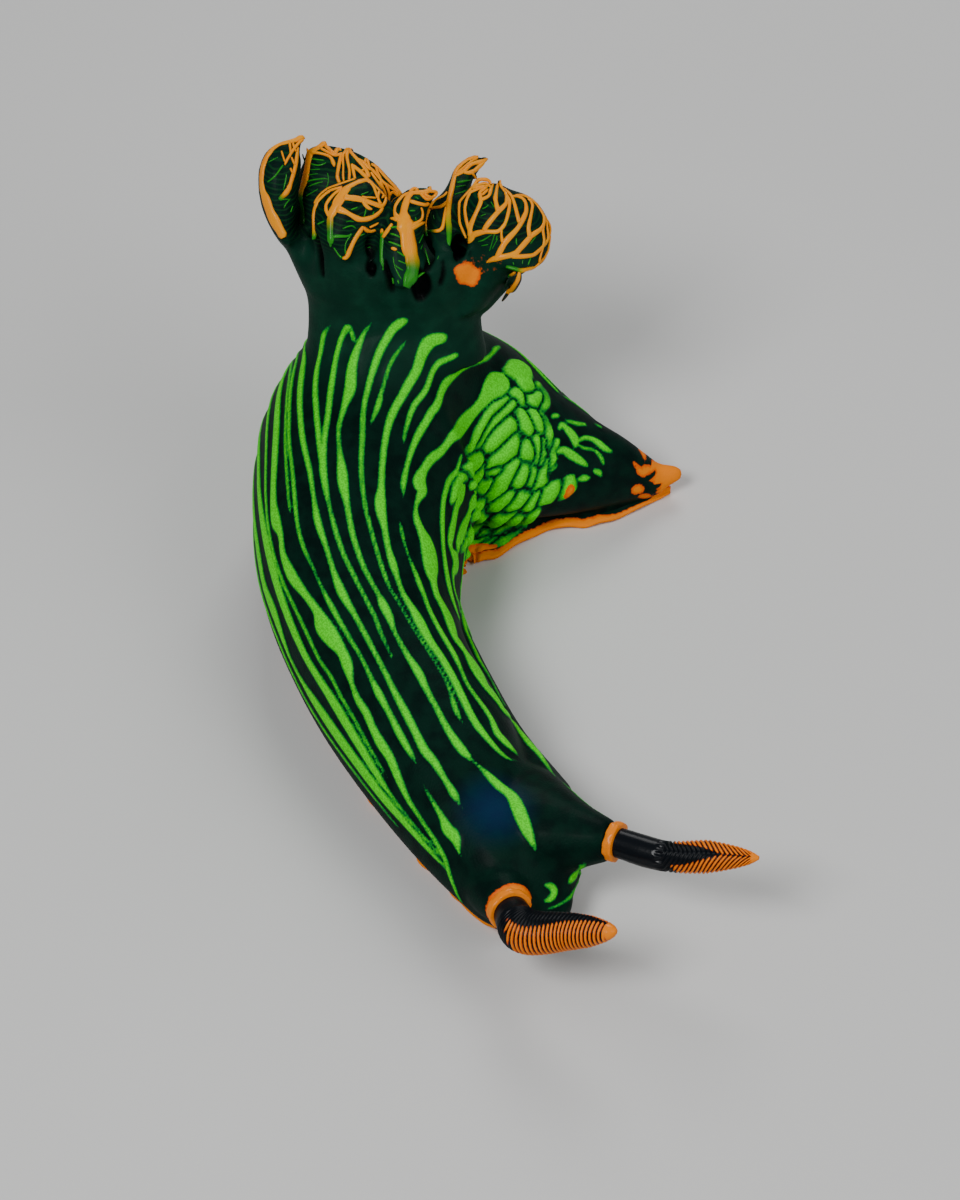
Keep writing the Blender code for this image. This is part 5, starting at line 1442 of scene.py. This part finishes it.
def tail_end(points):
    """Distance to the orange end of the tail, which starts further on half way up its side."""
    s = np.linspace(68.0, LENGTH, 60)
    at = np.interp(points[:, 0], stations_at(s)[0], s, left=60.0, right=LENGTH)
    ripple = 0.30 * np.sin(5.1 * points[:, 2] + 2.0 * points[:, 1]) + 0.18 * np.sin(11.0 * points[:, 2])
    rise, height, spread = ORANGE_TAIL_BUMP
    later = rise * np.exp(-(((points[:, 2] - height) / spread) ** 2))
    return ORANGE_TAIL_START + later + ripple - at


def gill_spot(points):
    """Distance to the orange spot on the gill's trunk and the speckles beside it.

    Both are ellipses in the camera's view of the gill, for points on its near side, and
    two sines of the turn round the spot make its outline uneven.
    """
    heart, to_right, to_up, out = picture_axes()
    right, up, depth = ((points - heart) @ axis for axis in (to_right, to_up, out))
    across, along = right - GILL_SPOT[0], up - GILL_SPOT[1]
    turn = np.arctan2(along, across)
    uneven = 1.0 + 0.10 * np.sin(2.0 * turn + 2.6) + 0.07 * np.sin(5.0 * turn + 0.6)
    spot = np.hypot(across, along) - GILL_SPOT[2] * uneven
    haze = np.hypot((right - GILL_HAZE[0]) / GILL_HAZE[2], (up - GILL_HAZE[1]) / GILL_HAZE[3])
    haze = 0.07 + 0.6 * np.maximum(haze - 1.0, 0.0)
    return np.where((depth > 0.5) & (depth < 9.0), np.minimum(spot, haze), REACH)


def collar_band(points):
    """Distance to the orange band on the skin behind each collar, along the horn's axis."""
    bands = []
    for horn in HORNS.values():
        collar, knee = np.array(horn["collar"]), np.array(horn["knee"])
        aim = unit(knee - collar)
        along = (points - collar) @ aim
        away = np.linalg.norm(points - collar - along[:, None] * aim, axis=1)
        bands.append(np.where(away < 1.35 * horn["radius"], -along - horn["band"], REACH))
    return np.minimum(*bands)


def node(tree, kind, place, **settings):
    """A new node at a place, with its settings."""
    made = tree.nodes.new(kind)
    made.location = place
    for name, value in settings.items():
        setattr(made, name, value)
    return made


def maths(tree, operation, first, second, place):
    """The result of one operation on two values; each may be a socket or a number."""
    made = node(tree, "ShaderNodeMath", place, operation=operation)
    for socket, value in zip(made.inputs, (first, second)):
        if hasattr(value, "node"):
            tree.links.new(value, socket)
        else:
            socket.default_value = value
    return made.outputs[0]


def new_group(name, inputs, outputs):
    """A node group of plain values, its entry and its exit; inputs come with their defaults."""
    tree = bpy.data.node_groups.new(name, "ShaderNodeTree")
    for label, value in inputs:
        socket = tree.interface.new_socket(label, in_out="INPUT", socket_type="NodeSocketFloat")
        socket.default_value = value
    for label in outputs:
        tree.interface.new_socket(label, in_out="OUTPUT", socket_type="NodeSocketFloat")
    return tree, node(tree, "NodeGroupInput", (-900, 0)), node(tree, "NodeGroupOutput", (500, 0))


def ragged_edge_group():
    """Mask of a mark with a ragged edge: its distance plus noise, stepped at 0."""
    name = "Ragged edge"
    if name in bpy.data.node_groups:
        return bpy.data.node_groups[name]
    inputs = (("Distance", 0.0), ("Grain size", 0.35), ("Raggedness", 0.12), ("Softness", 0.05))
    tree, entry, leave = new_group(name, inputs, ("Mask", "Depth"))
    link = tree.links.new
    place = node(tree, "ShaderNodeTexCoord", (-900, -300))
    noise = node(tree, "ShaderNodeTexNoise", (-500, -200))
    noise.inputs["Detail"].default_value = 2.0
    link(place.outputs["Object"], noise.inputs["Vector"])
    link(maths(tree, "DIVIDE", 1.0 / MM, entry.outputs["Grain size"], (-700, -200)), noise.inputs["Scale"])
    centred = maths(tree, "SUBTRACT", noise.outputs["Fac"], 0.5, (-300, -200))
    ragged = maths(tree, "MULTIPLY", centred, entry.outputs["Raggedness"], (-100, -200))
    total = maths(tree, "ADD", entry.outputs["Distance"], ragged, (100, 0))
    step = node(tree, "ShaderNodeMapRange", (300, 0), interpolation_type="SMOOTHSTEP")
    link(total, step.inputs["Value"])
    link(entry.outputs["Softness"], step.inputs["From Min"])
    link(maths(tree, "MULTIPLY", entry.outputs["Softness"], -1.0, (100, -400)), step.inputs["From Max"])
    link(step.outputs[0], leave.inputs["Mask"])
    link(maths(tree, "MULTIPLY", total, -1.0, (300, -200)), leave.inputs["Depth"])
    return tree


def wet_grain_group():
    """Fine wet skin: small bumps for the surface and specks that lighten or darken it."""
    name = "Wet grain"
    if name in bpy.data.node_groups:
        return bpy.data.node_groups[name]
    inputs = (("Grain size", 0.16), ("Blotch size", 1.6))
    tree, entry, leave = new_group(name, inputs, ("Height", "Specks", "Blotches"))
    link = tree.links.new
    place = node(tree, "ShaderNodeTexCoord", (-900, -300))
    fine = maths(tree, "DIVIDE", 1.0 / MM, entry.outputs["Grain size"], (-700, 100))
    wide = maths(tree, "DIVIDE", 1.0 / MM, entry.outputs["Blotch size"], (-700, -100))
    specks = node(tree, "ShaderNodeTexNoise", (-450, 100))
    specks.inputs["Detail"].default_value = 1.0
    cells = node(tree, "ShaderNodeTexVoronoi", (-450, -120), feature="SMOOTH_F1")
    blotches = node(tree, "ShaderNodeTexNoise", (-450, -360))
    blotches.inputs["Detail"].default_value = 3.0
    for texture, size in ((specks, fine), (cells, fine), (blotches, wide)):
        link(place.outputs["Object"], texture.inputs["Vector"])
        link(size, texture.inputs["Scale"])
    link(cells.outputs["Distance"], leave.inputs["Height"])
    link(specks.outputs["Fac"], leave.inputs["Specks"])
    link(blotches.outputs["Fac"], leave.inputs["Blotches"])
    return tree


def placed_group(tree, group, place, **values):
    """A group node in a material, with its own input values."""
    made = node(tree, "ShaderNodeGroup", place)
    made.node_tree = group
    for name, value in values.items():
        made.inputs[name.replace("_", " ").capitalize()].default_value = value
    return made


def fact(tree, name, place):
    """The value of a named point attribute."""
    made = node(tree, "ShaderNodeAttribute", place, attribute_name=name)
    return made.outputs["Fac"]


def mixed(tree, factor, first, second, place):
    """Two colours mixed by a factor; each may be a socket or plain numbers."""
    made = node(tree, "ShaderNodeMix", place, data_type="RGBA")
    inputs = {"Factor": made.inputs[0], "A": made.inputs[6], "B": made.inputs[7]}
    for name, value in (("Factor", factor), ("A", first), ("B", second)):
        if hasattr(value, "node"):
            tree.links.new(value, inputs[name])
        else:
            inputs[name].default_value = value if isinstance(value, float) else (*value, 1.0)
    return made.outputs[2]


def mapped(tree, value, low, high, place, to_low=0.0, to_high=1.0):
    """A value stretched from low..high to to_low..to_high, held at both ends."""
    made = node(tree, "ShaderNodeMapRange", place, interpolation_type="SMOOTHSTEP")
    tree.links.new(value, made.inputs["Value"])
    made.inputs["From Min"].default_value = low
    made.inputs["From Max"].default_value = high
    made.inputs["To Min"].default_value = to_low
    made.inputs["To Max"].default_value = to_high
    return made.outputs[0]


def wet_material(name, roughness, coat, bump):
    """A wet Principled surface with the grain's bump: (material, tree, shader, grain)."""
    material = bpy.data.materials.new(name)
    material.use_nodes = True
    tree = material.node_tree
    shader = tree.nodes["Principled BSDF"]
    shader.inputs["Roughness"].default_value = roughness
    shader.inputs["Coat Weight"].default_value = coat
    shader.inputs["Coat Roughness"].default_value = 0.18
    shader.inputs["Specular IOR Level"].default_value = 0.04
    grain = placed_group(tree, wet_grain_group(), (-900, -300))
    surface = node(tree, "ShaderNodeBump", (-250, -400))
    surface.inputs["Strength"].default_value = bump
    surface.inputs["Distance"].default_value = 0.05 * MM
    tree.links.new(grain.outputs["Height"], surface.inputs["Height"])
    tree.links.new(surface.outputs[0], shader.inputs["Normal"])
    return material, tree, shader, grain


def skin_material(colours):
    """Black-green skin with ragged green stripes, a painted bluish reflection on the head, painted shade in
    the gill's slots and orange marks.
    """
    material, tree, shader, grain = wet_material("slug_skin", 0.55, 0.01, 0.55)
    link = tree.links.new
    ragged = {"grain_size": 0.20, "raggedness": 0.15, "softness": 0.05}
    edge = placed_group(tree, ragged_edge_group(), (-900, 300), **ragged)
    link(fact(tree, "stripe", (-1150, 300)), edge.inputs["Distance"])
    inside = mapped(tree, edge.outputs["Depth"], 0.0, 0.24, (-650, 500))
    green = mixed(tree, inside, colours.stripe_edge, colours.stripe, (-450, 500))
    speck = mapped(tree, grain.outputs["Specks"], 0.38, 0.62, (-650, 150))
    dark_green = mixed(tree, 0.35, green, SPECK_GREEN, (-250, 650))
    green = mixed(tree, speck, dark_green, green, (-100, 500))
    blotch = mapped(tree, grain.outputs["Blotches"], 0.35, 0.7, (-650, -100))
    dark = mixed(tree, blotch, colours.skin, BLOTCH_BLACK, (-450, 50))
    place = node(tree, "ShaderNodeTexCoord", (-1400, -100))
    # Painted reflection: round one point on the head the colour turns bluish, a highlight painted into the
    # colour
    blue = node(tree, "ShaderNodeVectorMath", (-1150, -100), operation="DISTANCE")
    blue.inputs[1].default_value = wall(*PAINTED_SHEEN_PLACE) * MM
    link(place.outputs["Object"], blue.inputs[0])
    painted_sheen = mapped(tree, blue.outputs["Value"], 4.4 * MM, 0.2 * MM, (-900, -80), 0.0, 0.6)
    dark = mixed(tree, painted_sheen, dark, colours.blue, (-250, 50))
    up = fact(tree, "gill_up", (-1150, -900))
    trunk = mapped(tree, up, -8.5, -4.0, (-900, -1150))
    low = mapped(tree, up, 6.2, 4.2, (-900, -1000))
    clouds = mapped(tree, grain.outputs["Blotches"], 0.30, 0.75, (-900, -1350), 0.35, 1.0)
    pale = maths(tree, "MULTIPLY", trunk, clouds, (-650, -1200))
    funnel = maths(tree, "MULTIPLY", pale, low, (-550, -1000))
    dark = mixed(tree, funnel, dark, FUNNEL_GREEN, (-450, -1100))
    # Painted shade: the slots between the gill's trunks are painted near black
    slot = mapped(tree, fact(tree, "slot_dent_and_painted_shade", (-1150, -1500)), 0.25, -0.10, (-900, -1500))
    dark = mixed(tree, slot, dark, SLOT_PAINTED_SHADE, (-250, -1200))
    lines = node(tree, "ShaderNodeTexWave", (-900, -700), wave_type="BANDS", bands_direction="Z")
    lines.inputs["Scale"].default_value = 0.31 / (0.34 * MM)
    lines.inputs["Distortion"].default_value = 5.0
    lines.inputs["Detail"].default_value = 1.0
    lines.inputs["Detail Scale"].default_value = 0.7
    link(place.outputs["Object"], lines.inputs["Vector"])
    palm = mapped(tree, up, 4.6, 6.4, (-900, -950))
    fine = mapped(tree, lines.outputs["Fac"], 0.60, 0.98, (-650, -700), 0.0, 0.45)
    both = maths(tree, "MULTIPLY", fine, palm, (-450, -750))
    dark = mixed(tree, both, dark, PALM_GREEN, (-250, -200))
    body = mixed(tree, edge.outputs["Mask"], dark, green, (50, 300))
    ragged = {"grain_size": 0.3, "raggedness": 0.30, "softness": 0.05}
    mark = placed_group(tree, ragged_edge_group(), (-450, 800), **ragged)
    link(fact(tree, "orange", (-700, 800)), mark.inputs["Distance"])
    rim = mapped(tree, mark.outputs["Depth"], 0.0, 0.35, (-200, 850))
    orange = mixed(tree, rim, colours.orange_edge, colours.orange, (0, 800))
    body = mixed(tree, mark.outputs["Mask"], body, orange, (200, 400))
    link(body, shader.inputs["Base Color"])
    return material


class SLUG_OT_skin(bpy.types.Operator):
    """Make the one skin of body, head, sheaths, gill funnel and palms, with its markings."""

    bl_idname = "slug.skin"
    bl_label = "Skin"

    def execute(self, context):
        sizes, colours = context.scene.slug_sizes, context.scene.slug_colours
        points, quads, facts = skin_surface(sizes)
        skin = new_piece("slug_skin", points, quads, np.empty((0, 3), int), facts)
        nodes = [
            "head", "neck", "back_front", "back_middle", "hump", "tail_root", "tail_middle", "tail_tip",
            "oral_tentacle_left", "oral_tentacle_right", "rhinophore_sheath_left",
            "rhinophore_sheath_right", "gill_base", "anal_papilla",
        ]
        dress(skin, skin_material(colours), "body_skin", *nodes)
        return {"FINISHED"}


def foot_grid(inset=0.0, raise_by=0.0):
    """The foot as a wavy plate: rings across it from the snout to the tail's end.

    Its half width follows the station table, with two sines that ruffle the margin, and a
    ring runs from the sole round the thin edge, up over the shelf and back. The plate grows
    thinner towards its end. The skin uses the same plate, inset and raised, so that it runs
    down on to the margin.
    """
    s = np.linspace(FOOT_START, FOOT_END - 0.05 - 1.2 * inset, 330)
    x, y, facing, half, _, foot = stations_at(s)
    front = np.sqrt(np.clip(1.0 - np.clip(1.0 - (s - 1.6) / 2.6, 0.0, 1.0) ** 2, 0.02, 1.0))
    back = np.clip((FOOT_END - s) / 6.0, 0.001, 1.0) ** 0.45
    thin = 1.0 - 0.5 * smooth_step((s - FOOT_END + 5.0) / 5.0)
    rows = []
    for side in (1.0, -1.0):
        wave = sum(high * np.sin(2 * np.pi * s / long + turn * side) for high, long, turn in FOOT_WAVES)
        edge = foot * front * back * (1.0 + wave) - inset * front * back
        if side > 0:
            peeps = sum(np.exp(-(((s - place) / spread) ** 2)) for place, spread in FOOT_PEEPS)
            (first, last), (begin, stop) = FOOT_TUCK_SPAN, FOOT_TUCK_RUNS
            under = smooth_step((s - first) / begin) * smooth_step((last - s) / stop)
            edge = edge - FOOT_TUCK * under * (1.0 - np.clip(peeps, 0.0, 1.0))
        lift = 0.14 * (1.0 + np.sin(2 * np.pi * s / 3.4 + side)) * front * back
        lip = np.minimum(1.4, 0.3 * edge)
        shelf = np.maximum(np.minimum(0.66 * half, edge - lip - 0.4), 0.3 * edge)
        outline = (
            (edge - 0.9 * lip, 0.0 * s),
            (edge - 0.28, 0.05 + 0.5 * lift),
            (edge - 0.08, 0.14 + lift),
            (edge, 0.30 + lift),
            (edge - 0.08, 0.46 + lift),
            (edge - 0.28, 0.56 + lift),
            (edge - 0.75 * lip, 0.72 + 0.5 * lift),
            (edge - lip, 0.85 + 0.0 * s),
            (0.5 * (edge - lip + shelf), 1.25 + 0.0 * s),
            (shelf, 1.5 + 0.0 * s),
        )
        rows.append(outline if side > 0 else outline[::-1])
    turn = np.radians(facing)
    ring = []
    for outline, side in zip(rows, (1.0, -1.0)):
        for offset, z in outline:
            across = side * offset
            place = [x - np.sin(turn) * across, y + np.cos(turn) * across, thin * z + raise_by]
            ring.append(np.stack(place, -1))
    return np.stack(ring, axis=1)


def edged_material(name, colours, ground, wetness, rim_depth, **ragged):
    """A wet ground colour under a ragged orange mark that is redder at its edge."""
    material, tree, shader, _ = wet_material(name, *wetness)
    edge = placed_group(tree, ragged_edge_group(), (-700, 300), **ragged)
    tree.links.new(fact(tree, "edge", (-900, 300)), edge.inputs["Distance"])
    rim = mapped(tree, edge.outputs["Depth"], 0.0, rim_depth, (-450, 400))
    orange = mixed(tree, rim, colours.orange_edge, colours.orange, (-250, 400))
    colour = mixed(tree, edge.outputs["Mask"], ground, orange, (0, 300))
    tree.links.new(colour, shader.inputs["Base Color"])
    return material


def foot_material(colours):
    """Dark foot with a ragged orange margin."""
    ragged = {"grain_size": 0.5, "raggedness": 0.55, "softness": 0.06}
    return edged_material("foot_margin", colours, colours.skin, (0.55, 0.05, 0.5), 0.3, **ragged)


class SLUG_OT_foot(bpy.types.Operator):
    """Make the foot with its ruffled orange margin."""

    bl_idname = "slug.foot"
    bl_label = "Foot"

    def execute(self, context):
        grid = foot_grid()
        points, quads, tris = shell(grid)
        inward = np.array([*FOOT_INWARD, *FOOT_INWARD[::-1]])
        s = np.linspace(FOOT_START, FOOT_END, len(grid))[:, None]
        less, more = (
            amount * smooth_step((s - LENGTH + start) / run)
            for amount, start, run in (MARGIN_NARROWING, MARGIN_WIDENING)
        )
        distance = (inward - (MARGIN_WIDTH - less + more)).ravel()
        distance = np.concatenate([distance, [0.0, 0.0]])
        foot = new_piece("foot_margin", points, quads, tris, {"edge": distance})
        material = foot_material(context.scene.slug_colours)
        dress(foot, material, "foot_rim", "foot_front", "foot_middle", "foot_bend", "foot_tail")
        return {"FINISHED"}


def horn_line(horn, count):
    """A horn's middle line from the collar's outer face to its tip."""
    collar, knee, tip = (np.array(horn[key]) for key in ("collar", "knee", "tip"))
    aim = unit(knee - collar)
    return bent_path([collar - 0.2 * aim, knee, knee + 0.5 * (tip - knee), tip], count)


def horn_surface(horn, sizes):
    """Stalk and club as one tube with slanted plates.

    The radius is the horn's profile less a groove, cos of the plate count times the share
    along the club plus a shift that grows with the turn from the spine, so that the plates
    meet there and slant back on both sides. The edges on the dark side stay black.
    """
    rows, cols = 620, 72
    line = horn_line(horn, rows)
    share = np.linspace(0.0, 1.0, rows)
    at = np.clip((share - horn["club"]) / (1.0 - horn["club"]), 0.0, 1.0)
    radius = np.interp(share, *np.array(horn["profile"]).T)
    radius = np.convolve(np.pad(radius, 12, mode="edge"), np.ones(25) / 25.0, mode="valid")
    radius = np.minimum(radius, np.sqrt(np.clip(1.0 - share, 0.0, 1.0) * 9.0) + 0.08)
    turn = np.arange(cols) * 2 * np.pi / cols
    spine = np.abs((turn - np.radians(horn["spine"]) + np.pi) % (2 * np.pi) - np.pi)
    middle, wide, run = horn["dark"]
    away = np.abs((turn - np.radians(middle) + np.pi) % (2 * np.pi) - np.pi)
    phase = sizes.lamellae * horn["plates"] * at[:, None] + horn["slant"] * spine[None, :]
    crest = 0.5 + 0.5 * np.cos(2 * np.pi * phase)
    ridged = smooth_step((share[:, None] - 0.8 * horn["club"]) / 0.06)
    narrowing = np.clip(1.0 - (at / run) ** 1.5, 0.0, 1.0)[:, None]
    plated = smooth_step((away[None, :] - np.radians(wide) * narrowing) / 0.2 + 0.2)
    plated = plated * smooth_step((at[:, None] - 0.04 - 0.12 * (1.0 - np.cos(spine))[None, :] / 2.0) / 0.05)
    tip = smooth_step((at[:, None] - 0.90) / 0.05)
    grid_radius = radius[:, None] + sizes.lamella_depth / MM * ridged * (crest - 0.85) * (1.0 - tip)
    grid = tube(line, grid_radius, cols, 1.0 - (1.0 - CLUB_FLAT) * smooth_step(at / 0.3))
    edge = np.where(plated > 0.05, (0.36 - crest) * 0.6 + 0.5 * (1.0 - plated), 0.6)
    return grid, edge * (1.0 - tip) - 0.4 * tip


def horn_material(colours, name):
    """Black horn whose plates have orange edges, solid orange at the tip."""
    ragged = {"grain_size": 0.3, "raggedness": 0.30, "softness": 0.10}
    return edged_material(name, colours, colours.black, (0.42, 0.2, 0.35), 0.25, **ragged)


def collar_surface(horn):
    """A band round the sheath's end: a tube that swells by half a sine over its length."""
    collar, knee = np.array(horn["collar"]), np.array(horn["knee"])
    share = np.linspace(-1.0, 1.0, 25)
    path = collar + np.outer(share * 0.5 * COLLAR_LENGTH, unit(knee - collar))
    turn = np.arange(72) * 2 * np.pi / 72
    frill = 1.0 + 0.035 * np.sin(5 * turn) + 0.025 * np.sin(11 * turn + 1.0)
    swell = 0.90 + 0.10 * np.sqrt(np.clip(1.0 - np.abs(share) ** 4, 0.0, 1.0))
    swell = np.where(share < 0, np.maximum(swell, 0.97), swell)
    return tube(path, horn["radius"] * swell[:, None] * frill[None, :] ** np.abs(share)[:, None], 72)


class SLUG_OT_horns(bpy.types.Operator):
    """Make the collar and the plated club of both horns."""

    bl_idname = "slug.horns"
    bl_label = "Horns"

    def execute(self, context):
        sizes, colours = context.scene.slug_sizes, context.scene.slug_colours
        finish = horn_material(colours, "horn_plates")
        ring = horn_material(colours, "horn_collar")
        for side, horn in HORNS.items():
            grid, edge = horn_surface(horn, sizes)
            points, quads, tris = shell(grid)
            values = np.concatenate([edge.ravel(), [0.6, -0.4]])
            club = new_piece(f"rhinophore_{side}", points, quads, tris, {"edge": values})
            dress(club, finish, "horn_orange", f"rhinophore_stalk_{side}", f"rhinophore_club_{side}")
            points, quads, tris = shell(collar_surface(horn))
            facts = {"edge": np.full(len(points), -0.5)}
            collar = new_piece(f"horn_collar_{side}", points, quads, tris, facts)
            dress(collar, ring, "horn_orange", f"rhinophore_collar_{side}")
        return {"FINISHED"}


def vein_grid(path, outward, widths, depths):
    """A blade along a path: a fixed profile, rounded outside and thin inside, scaled by row."""
    along = unit(np.gradient(path, axis=0))
    across = unit(np.cross(along, outward))
    inward = -unit(outward - along * np.sum(outward * along, -1, keepdims=True))
    side = VEIN_PROFILE[None, :, :1] * widths[:, None, None] * across[:, None]
    depth = VEIN_PROFILE[None, :, 1:] * depths[:, None, None] * inward[:, None]
    return path[:, None] + side + depth


def vein_knots(name, points):
    """A vein's points as right, up and width in the gill's picture, at the depth of its palm."""
    right, down, width = np.array(points, float).T
    across, up = picture_places(right, down, 0.0)
    for _ in range(3):
        across, up = picture_places(right, down, palm_depth(name, across, up, 1.0))
    pixel = np.linalg.norm(camera_place() - picture_axes()[0]) / FOCAL
    return np.column_stack([across, up, pixel * width])


def vein_shell(name, green, points, side, rng):
    """One vein on a palm, with the green share and depth of each of its points."""
    knots = vein_knots(name, points)
    length = np.hypot(*np.diff(knots[:, :2], axis=0).T).sum()
    rows = max(6, int(length / 0.14))
    line = bent_path(knots, rows)
    _, _, _, thick = palm_rows(name, line[:, 1])
    if side < 0 and (thick.mean() < 0.5 or (green == 1 and rng.random() < 0.3)):
        return None
    place, outward = palm_point(name, line[:, 0], line[:, 1], side)
    for _ in range(3):
        place[1:-1] = 0.25 * place[:-2] + 0.5 * place[1:-1] + 0.25 * place[2:]
    place = place + (0.0 if green == 1 else 0.06) * outward
    share = np.linspace(0.0, 1.0, rows)
    ripple = 1.0 + 0.07 * np.sin(17.0 * share * length / 3.0 + 9.0 * rng.random())
    ends = np.interp(share, (0.0, 0.04, 0.94, 1.0), (0.75, 1.0, 1.0, 0.55))
    widths = line[:, 2] * ripple * ends * (0.9 if green == 1 else 1.22)
    grid = vein_grid(place, outward, widths, 0.4 + 0.35 * widths)
    blend = smooth_step((green + 0.10 - share) / 0.16) if 0 < green < 1 else np.full(rows, float(green))
    deep = np.broadcast_to(VEIN_PROFILE[:, 1], grid.shape[:2])
    return grid, np.repeat(blend, grid.shape[1]), deep.ravel()


def plume_surface(name, rng):
    """All veins of one plume, those of the front mirrored to its back."""
    shells, greens, depths = [], [], []
    for side in (1.0, -1.0):
        for green, *points in VEINS[name]:
            made = vein_shell(name, green, points, side, rng)
            if made is None:
                continue
            grid, blend, deep = made
            shells.append(shell(grid))
            greens.append(np.concatenate([blend, [blend[0], blend[-1]]]))
            depths.append(np.concatenate([deep, [0.3, 0.3]]))
    points, quads, tris = join_shells(shells)
    return points, quads, tris, {"green": np.concatenate(greens), "depth": np.concatenate(depths)}


def plume_material(colours):
    """Orange veins with dark flanks, green where the stems begin and on the cross bars."""
    material, tree, shader, grain = wet_material("gill_plumes", 0.45, 0.15, 0.35)
    depth = fact(tree, "depth", (-1100, 300))
    outer = mapped(tree, depth, 0.60, 0.30, (-850, 300))
    green = mixed(tree, grain.outputs["Blotches"], *VEIN_GREENS, (-600, 0))
    yellow = mixed(tree, grain.outputs["Blotches"], colours.orange, VEIN_YELLOW, (-600, 200))
    edge = mixed(tree, fact(tree, "green", (-1100, 0)), yellow, green, (-350, 150))
    side = mixed(tree, grain.outputs["Specks"], *VEIN_BLACKS, (-600, 450))
    colour = mixed(tree, outer, side, edge, (-100, 300))
    tree.links.new(colour, shader.inputs["Base Color"])
    return material


class SLUG_OT_gill(bpy.types.Operator):
    """Make the six gill plumes with their veins and cross bars."""

    bl_idname = "slug.gill"
    bl_label = "Gill"

    def execute(self, context):
        material = plume_material(context.scene.slug_colours)
        rng = np.random.default_rng(7)
        for name in GILL_PALMS:
            points, quads, tris, facts = plume_surface(name, rng)
            piece = new_piece("veins_" + name, points, quads, tris, facts)
            dress(piece, material, "gill_orange", name)
        return {"FINISHED"}


def area_light(name, place, size, power, colour=(1.0, 1.0, 1.0)):
    """A soft square lamp that looks at the camera's target."""
    data = bpy.data.lights.new(name, "AREA")
    data.size = size * MM
    data.energy = power
    data.color = colour
    lamp = bpy.data.objects.new(name, data)
    bpy.context.scene.collection.objects.link(lamp)
    lamp.location = np.array(place) * MM
    aim = np.array(CAMERA_TARGET) * MM - np.array(lamp.location)
    lamp.rotation_euler = look_along(aim)
    return lamp


def look_along(aim):
    """Euler angles that turn -Z along a direction with the top up."""
    flat = math.hypot(aim[0], aim[1])
    return (math.atan2(flat, -aim[2]), 0.0, math.atan2(-aim[0], aim[1]))


class SLUG_OT_stage(bpy.types.Operator):
    """Make the floor, the soft lights and the camera at the photograph's angle."""

    bl_idname = "slug.stage"
    bl_label = "Stage"

    def execute(self, context):
        target, place = np.array(CAMERA_TARGET), camera_place()
        data = bpy.data.cameras.new("camera")
        data.sensor_width = SENSOR
        data.lens = SENSOR * CAMERA_DISTANCE / VIEW_HEIGHT
        camera = bpy.data.objects.new("camera", data)
        context.scene.collection.objects.link(camera)
        camera.location = place * MM
        camera.rotation_euler = look_along(target - place)
        context.scene.camera = camera
        area_light("key", (-180.0, -260.0, 380.0), 160.0, 1.75)
        area_light("fill", (260.0, -160.0, 260.0), 260.0, 0.66)
        area_light("back", (40.0, 320.0, 300.0), 200.0, 0.77)
        world = bpy.data.worlds.new("studio")
        world.use_nodes = True
        world.node_tree.nodes["Background"].inputs[0].default_value = (0.9, 0.93, 1.0, 1.0)
        world.node_tree.nodes["Background"].inputs[1].default_value = 0.10
        context.scene.world = world
        turn = np.arange(96) * 2 * np.pi / 96
        ring = np.stack([3000.0 * np.cos(turn), 3000.0 * np.sin(turn), 0.0 * turn], -1)
        grid = np.stack([ring - (0.0, 0.0, 5.0), ring])
        floor = new_piece("floor", *shell(grid))
        floor.data.materials.append(floor_material(context.scene.slug_colours))
        return {"FINISHED"}


def floor_material(colours):
    """Plain pale floor with a faint unevenness."""
    material = bpy.data.materials.new("floor")
    material.use_nodes = True
    tree = material.node_tree
    shader = tree.nodes["Principled BSDF"]
    shader.inputs["Roughness"].default_value = 0.7
    grain = placed_group(tree, wet_grain_group(), (-700, 0), blotch_size=60.0)
    darker = tuple(0.94 * part for part in colours.floor)
    colour = mixed(tree, grain.outputs["Blotches"], colours.floor, darker, (-300, 0))
    tree.links.new(colour, shader.inputs["Base Color"])
    return material


class SLUG_PT_panel(bpy.types.Panel):
    """Lists the slug's operators, sizes and colours."""

    bl_label = "Variable neon slug"
    bl_idname = "SLUG_PT_panel"
    bl_space_type = "VIEW_3D"
    bl_region_type = "UI"
    bl_category = "Slug"

    def draw(self, context):
        for kind in OPERATORS:
            self.layout.operator(kind.bl_idname)
        for group in (context.scene.slug_sizes, context.scene.slug_colours):
            for name in group.__annotations__:
                self.layout.prop(group, name)


OPERATORS = (SLUG_OT_skin, SLUG_OT_foot, SLUG_OT_horns, SLUG_OT_gill, SLUG_OT_stage)
CLASSES = (SlugSizes, SlugColours, *OPERATORS, SLUG_PT_panel)


def register():
    for kind in CLASSES:
        bpy.utils.register_class(kind)
    bpy.types.Scene.slug_sizes = PointerProperty(type=SlugSizes)
    bpy.types.Scene.slug_colours = PointerProperty(type=SlugColours)


def unregister():
    del bpy.types.Scene.slug_colours
    del bpy.types.Scene.slug_sizes
    for kind in reversed(CLASSES):
        bpy.utils.unregister_class(kind)


def main():
    register()
    bpy.ops.slug.stage()
    bpy.ops.slug.skin()
    bpy.ops.slug.foot()
    bpy.ops.slug.horns()
    bpy.ops.slug.gill()


if __name__ == "__main__":
    main()
